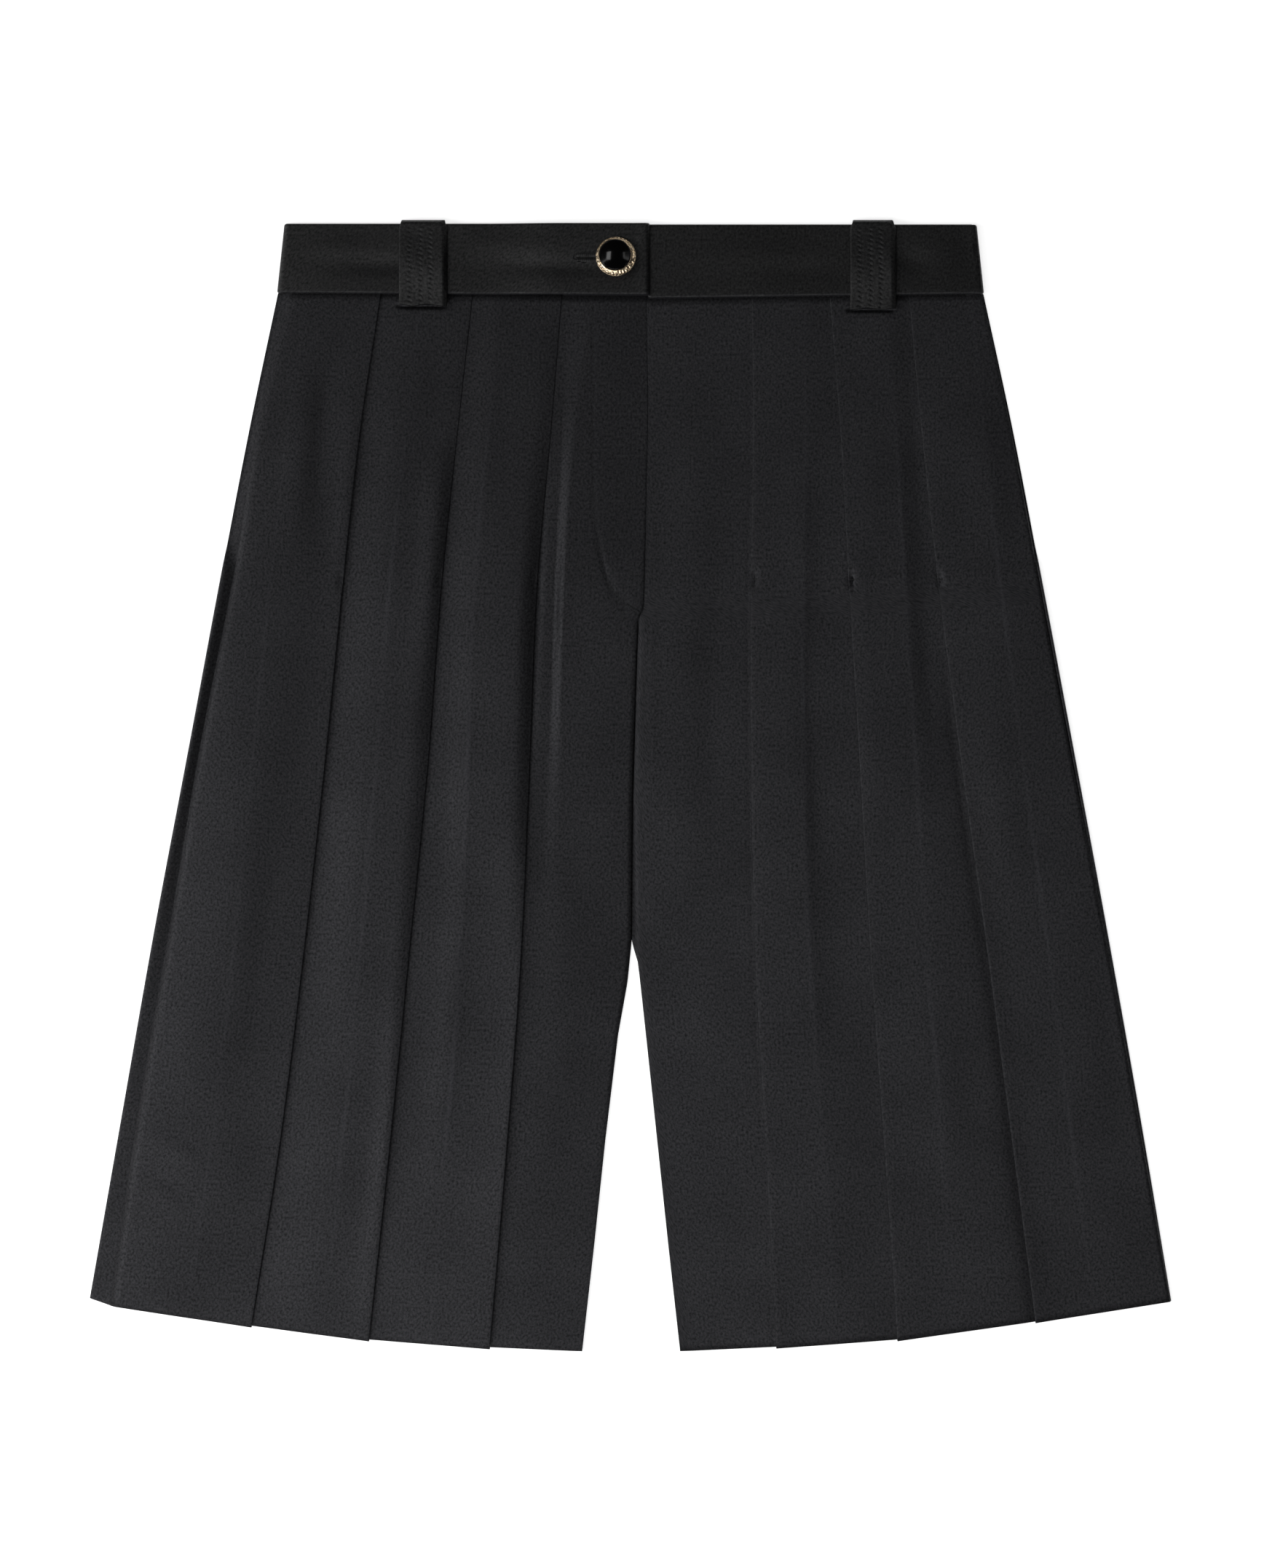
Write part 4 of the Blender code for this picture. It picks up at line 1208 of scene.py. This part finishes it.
def loop_points(loop):
    """A strip up the front of the band, bowed off it as sin² of the way, and a quarter turn over
    its top. Its lower end is uneven, and its three columns of cover-stitches pull it in and out as
    a sine of the height. The side away from the light falls off to the band as a soft step."""
    flat = BAND_FRONT + BAND_WALL / 2 + GAP + LOOP_WALL / 2
    under = flat + LOOP_STAND
    start = WAIST_SEAM - loop.hang
    top = TOP - LOOP_WALL / 2
    way = np.linspace(0, 1, 150)
    climb = start + (top - LOOP_TURN - start) * way
    bow = under + LOOP_ARCH * np.sin(np.pi * way) ** 2
    turn = np.linspace(0, np.pi / 2, 9)[1:]
    along = np.concatenate([climb, top - LOOP_TURN + LOOP_TURN * np.sin(turn)])
    height = np.concatenate([bow, LOOP_END + (under - LOOP_END) * np.cos(turn)])
    narrowing = smooth((along - TOP + LOOP_NARROWS) / LOOP_NARROWS)
    width = loop.width + (loop.top_width - loop.width) * narrowing
    border = np.array([0.465, 0.485, 0.5])
    across = np.concatenate([-border[::-1], np.linspace(-0.44, 0.44, 34), border])[:, None]
    x = loop.middle + across * width
    margin = np.linspace(0, 1, 10)[1:, None]
    x = np.concatenate([x, x[-1:] + margin * LOOP_MARGIN])
    across = np.concatenate([across, np.full_like(margin, 0.5)])
    y = along + 0 * across
    low = 1 - smooth((y - start) / 7)
    y = y + low * LOOP_FOOT_WAVE * np.sin(across * 9 + loop.phase)
    front = smooth((TOP - 3 - y) / 3)
    columns = sum(bump(across * width - at, COVER_STITCH_WIDTH) for at in COVER_STITCH_AT)
    knots = np.sin(2 * np.pi * y / COVER_STITCH + 0.8 * across * width)
    z = height + front * columns * (COVER_STITCH_RELIEF * knots - COVER_STITCH_SINK)
    waves = np.sin(y / 4.5 + loop.phase + 3 * across) * np.sin(np.pi * (across + 0.5))
    z = z + front * LOOP_WAVE * waves
    off = np.concatenate([np.zeros(len(across) - len(margin)), margin[:, 0]])[:, None]
    z = z - (z - np.minimum(z, flat)) * smooth(off)
    return np.stack([x, y, z, 0 * z], axis=-1)


class SHORTS_OT_belt_loops(bpy.types.Operator):
    """Makes the two belt loops, turned over the band's top edge"""

    bl_idname = "shorts.belt_loops"
    bl_label = "Belt loops"

    def execute(self, context):
        settings = context.scene.shorts_cloth
        for loop in LOOPS:
            cloth = satin(f"cotton satin, {loop.name.replace('_', ' ')}", settings, "#F2F2F2")
            piece = cloth_wall(f"{loop.name}_cloth", loop_points(loop), LOOP_WALL, cloth)
            cloth_piece(piece, loop.name)
        return {"FINISHED"}


def rim_rings():
    """The rim's grid for `turned`, and how much of the setting's offset each point shares. The
    flank is hammered: its height rises and falls by two waves, of 26 and 41 to a turn, that lean
    across it, and they fade to both sides as exp(−(d / width)²)."""
    around = np.linspace(0, 2 * np.pi, RIM_AROUND, endpoint=False)[:, None]
    last = len(RIM_PROFILE) - 1
    finer = np.linspace(0, last, RIM_STEPS * last + 1)
    radius, height = (
        np.interp(finer, np.arange(last + 1), values)[None] for values in zip(*RIM_PROFILE)
    )
    rim = smooth((height - 0.6) / 0.8) * smooth((radius - 7.6) / 0.5)
    flank = bump(radius - FLANK_AT, FLANK_WIDTH) * rim
    knocks = np.sin(26 * around + 3.2 * radius + 1.4 * np.sin(5 * around))
    knocks = knocks + 0.5 * np.sin(41 * around - radius)
    raised = BUTTON_BASE + height + HAMMERED * flank * knocks
    inward = np.clip((10.0 - radius) / 1.8, 0, 1) * smooth((height - 0.4) / 0.6)
    return np.stack(np.broadcast_arrays(radius, raised), axis=-1), inward


def dome_rings():
    """The dome's grid for `turned`: a low wall, then a top that falls as r² / 2R over the middle
    and goes on in a straight slope outside it."""
    out = np.linspace(CABOCHON_RADIUS, 0, 40)
    curved = np.minimum(out, DOME_CURVED)
    dome = DOME_TOP - curved**2 / (2 * DOME_BEND) - (out - curved) * DOME_CURVED / DOME_BEND
    foot = [(0, CABOCHON_BASE), (CABOCHON_RADIUS * 0.97, CABOCHON_BASE), (CABOCHON_RADIUS, 1.3)]
    profile = np.concatenate([foot, np.stack([out, dome], axis=-1)])
    rings = np.broadcast_to(profile, (CABOCHON_AROUND, *profile.shape)).copy()
    rings[..., 1] += BUTTON_BASE
    return rings, 1.0


class SHORTS_OT_button(bpy.types.Operator):
    """Makes the hammered gold-toned rim and the black dome in it"""

    bl_idname = "shorts.button"
    bl_label = "Button"

    def execute(self, context):
        gold = gold_plate("gold-plated zinc, hammered")
        bezel = turned("button_bezel_rim", *rim_rings(), gold)
        trim(bezel)
        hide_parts("button_bezel")

        black = polished_resin("black resin, tumbled")
        cabochon = turned("button_cabochon_dome", *dome_rings(), black)
        trim(cabochon)
        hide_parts("button_cabochon")
        return {"FINISHED"}


def along_path(path, length, share):
    """Starts and ends of stitches along a line of points, each of a share of one stitch length."""
    path = np.asarray(path, float)
    steps = np.hypot(*np.diff(path, axis=0).T)
    far = np.concatenate([[0], np.cumsum(steps)])
    starts = np.arange(0, far[-1] - length * share, length)
    return [
        np.stack([np.interp(at, far, path[:, 0]), np.interp(at, far, path[:, 1])], axis=-1)
        for at in (starts, starts + length * share)
    ]


class SHORTS_OT_stitching(bpy.types.Operator):
    """Sews the fly's row, the loops' cover-stitches, the buttonhole and the small tacks"""

    bl_idname = "shorts.stitching"
    bl_label = "Stitching"

    def execute(self, context):
        settings = context.scene.shorts_stitching
        thick, length = settings.thickness / MM, settings.length / MM
        thread = sewing_thread("black polyester thread")
        fronts = [bpy.data.objects[f"front_leg_{side}_cloth"] for side in LEGS]
        band = bpy.data.objects["waistband_cloth"]

        def sewn(name, starts, ends, pieces, thickness, arch, lift=0.0):
            low, high = dropped(starts, pieces, lift), dropped(ends, pieces, lift)
            trim(threads(name, low, high, thickness, arch, thread))

        starts, ends = along_path(FLY_STITCH, length, LOCKSTITCH_FILLS)
        sewn("fly_stitching", starts, ends, fronts[:1], thick, arch=0.06, lift=-0.02)

        # Bars across the fly's foot and where each pleat's stitching ends
        tack = np.linspace(*FLY_TACK, 12)
        across = np.array((0.5, 0.85))
        starts, ends = list(tack - across), list(tack + across)
        for leg in LEGS.values():
            for line in leg.pleats:
                out = leg.side * (edge(line, STITCH_END) + 1.2)
                spots = [(out + leg.side * step, STITCH_END_Y) for step in TACK_STEPS]
                starts += list(np.array(spots) - (0.1, 0.6))
                ends += list(np.array(spots) + (0.1, 0.6))
        sewn("bar_tacks", starts, ends, fronts, thick, arch=0.05)

        for loop in LOOPS:
            cloth = bpy.data.objects[f"{loop.name}_cloth"]
            foot = WAIST_SEAM - loop.hang + 3
            rows = []
            for column in COVER_STITCH_AT:
                for off, drop in ((-0.5, 5), (0.5, 6)):
                    at = loop.middle + column + off
                    path = [(at, TOP - drop), (at, foot)]
                    rows.append(along_path(path, COVER_STITCH, COVER_STITCH_FILLS))
            starts, ends = (np.concatenate(part) for part in zip(*rows))
            name = f"{loop.name}_stitching"
            sewn(name, starts, ends, [cloth], COVER_THREAD, arch=0.05)

        # Zigzag bites along both lips of the buttonhole and round its far end
        start, end = SLOT
        middle = BUTTON_AT[1]
        inside, outside = BUTTONHOLE_BITE
        along = np.arange(start, end, BUTTONHOLE_PITCH)
        starts = [(at, middle + side * inside) for side in (-1, 1) for at in along]
        ends = [(at + 0.15, middle + side * outside) for side in (-1, 1) for at in along]
        for angle in np.linspace(np.pi / 2, 3 * np.pi / 2, 9):
            turn = np.array((np.cos(angle), np.sin(angle)))
            starts.append(np.array((start, middle)) + inside * turn)
            ends.append(np.array((start, middle)) + outside * turn)
        name = "buttonhole_stitching"
        sewn(name, starts, ends, [band], BUTTONHOLE_THREAD, arch=0.16)

        # Stitches sunk in the seam below the band
        for side, first, last in SEAM_STITCHES:
            ends = np.array((first, last), float)
            path = np.column_stack([ends, waist_seam(LEGS[side].side, ends) - 0.15])
            low, high = (
                np.column_stack([places, np.full(len(places), SEAM_STITCH_HEIGHT)])
                for places in along_path(path, length, SEAM_STITCH_FILLS)
            )
            sunk = threads(f"band_seam_stitching_{side}", low, high, thick, 0.0, thread)
            trim(sunk)
        return {"FINISHED"}


Lamp = namedtuple("Lamp", "name place aim wide high watts colour")
LAMPS = (
    Lamp("overhead softbox", (-0.7, -1.1, 2.2), (-0.7, -1.1, 0), 1.9, 1.6, 22.5, "#FFFFFF"),
    Lamp("upper left softbox", (-0.95, 1.4, 2.2), (-0.95, 1.4, 0), 0.45, 1.0, 3.4, "#FFFFFF"),
    Lamp("upper right strip", (0.7, 1.4, 2.2), (0.7, 1.4, 0), 0.2, 0.8, 0.4, "#FFFFFF"),
    Lamp("key softbox", (-2.6, -0.2, 1.9), (0, 0, 0), 1.0, 1.4, 30.0, "#FFFFFF"),
    Lamp("right reflector", (1.9, -0.3, 2.0), (0, 0.25, 0), 0.35, 0.35, 1.7, "#FFFFFF"),
)
FLOOR_REACH = 4000.0
FLOOR_DROP = 0.2  # how far it lies under the cloth
CAMERA_OVER = (0.74, 0.93, 4.0)  # the point on the cloth that the camera stands over


class SHORTS_OT_stage(bpy.types.Operator):
    """Sets up the white card, the softboxes and the camera straight above"""

    bl_idname = "shorts.stage"
    bl_label = "Stage"

    def execute(self, context):
        scene = context.scene
        settings = scene.shorts_stage
        corners = np.array([(-1, -1, 0), (1, -1, 0), (1, 1, 0), (-1, 1, 0)]) * FLOOR_REACH
        corners[:, 2] = -FLOOR_DROP
        floor = made_object("floor", corners, [(0, 1, 2, 3)], white_card("matt white card"))

        for lamp in LAMPS:
            light = bpy.data.lights.new(lamp.name, "AREA")
            light.shape = "RECTANGLE"
            light.size, light.size_y = lamp.wide, lamp.high
            light.energy = lamp.watts
            light.color = linear(lamp.colour)[:3]
            made = bpy.data.objects.new(lamp.name, light)
            made.location = lamp.place
            away = Vector(lamp.place) - Vector(lamp.aim)
            made.rotation_euler = away.to_track_quat("Z", "Y").to_euler()
            scene.collection.objects.link(made)

        world = bpy.data.worlds.new("studio")
        scene.world = world
        world.use_nodes = True
        world.node_tree.nodes.clear()
        light = add(world.node_tree, "Background", {
            "Color": (*settings.surround, 1), "Strength": settings.surround_strength,
        })
        add(world.node_tree, "OutputWorld", {"Surface": light.outputs["Background"]})

        camera = bpy.data.cameras.new("camera")
        camera.sensor_width = 36.0
        camera.lens = camera.sensor_width / 2 * settings.height / (settings.view / 2)
        camera.clip_end = 20.0
        eye = bpy.data.objects.new("camera", camera)
        x, y, z = CAMERA_OVER
        eye.location = (x * MM, y * MM, settings.height + z * MM)
        scene.collection.objects.link(eye)
        scene.camera = eye
        scene.view_settings.view_transform = "Standard"
        return {"FINISHED"}


class SHORTS_PT_sidebar(bpy.types.Panel):
    """Lists the settings and the steps, in the order in which they are run"""

    bl_idname = "SHORTS_PT_sidebar"
    bl_label = "Pleated shorts"
    bl_space_type = "VIEW_3D"
    bl_region_type = "UI"
    bl_category = "Shorts"

    def draw(self, context):
        for name in GROUPS:
            box = self.layout.box()
            group = getattr(context.scene, name)
            for field in group.__annotations__:
                box.prop(group, field)
        for step in STEPS:
            self.layout.operator(step.bl_idname)


GROUPS = {
    "shorts_cloth": ShortsCloth,
    "shorts_stitching": ShortsStitching,
    "shorts_stage": ShortsStage,
}
STEPS = (
    SHORTS_OT_backs, SHORTS_OT_fronts, SHORTS_OT_waistband, SHORTS_OT_belt_loops, SHORTS_OT_button,
    SHORTS_OT_stitching, SHORTS_OT_stage,
)


def register():
    for kind in (*GROUPS.values(), *STEPS, SHORTS_PT_sidebar):
        bpy.utils.register_class(kind)
    for name, kind in GROUPS.items():
        setattr(bpy.types.Scene, name, PointerProperty(type=kind))


def unregister():
    for name in GROUPS:
        delattr(bpy.types.Scene, name)
    for kind in (SHORTS_PT_sidebar, *STEPS[::-1], *GROUPS.values()):
        bpy.utils.unregister_class(kind)


def main():
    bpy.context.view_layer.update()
    register()
    bpy.ops.shorts.backs()
    bpy.ops.shorts.fronts()
    bpy.ops.shorts.waistband()
    bpy.ops.shorts.belt_loops()
    bpy.ops.shorts.button()
    bpy.ops.shorts.stitching()
    bpy.ops.shorts.stage()


if __name__ == "__main__":
    main()
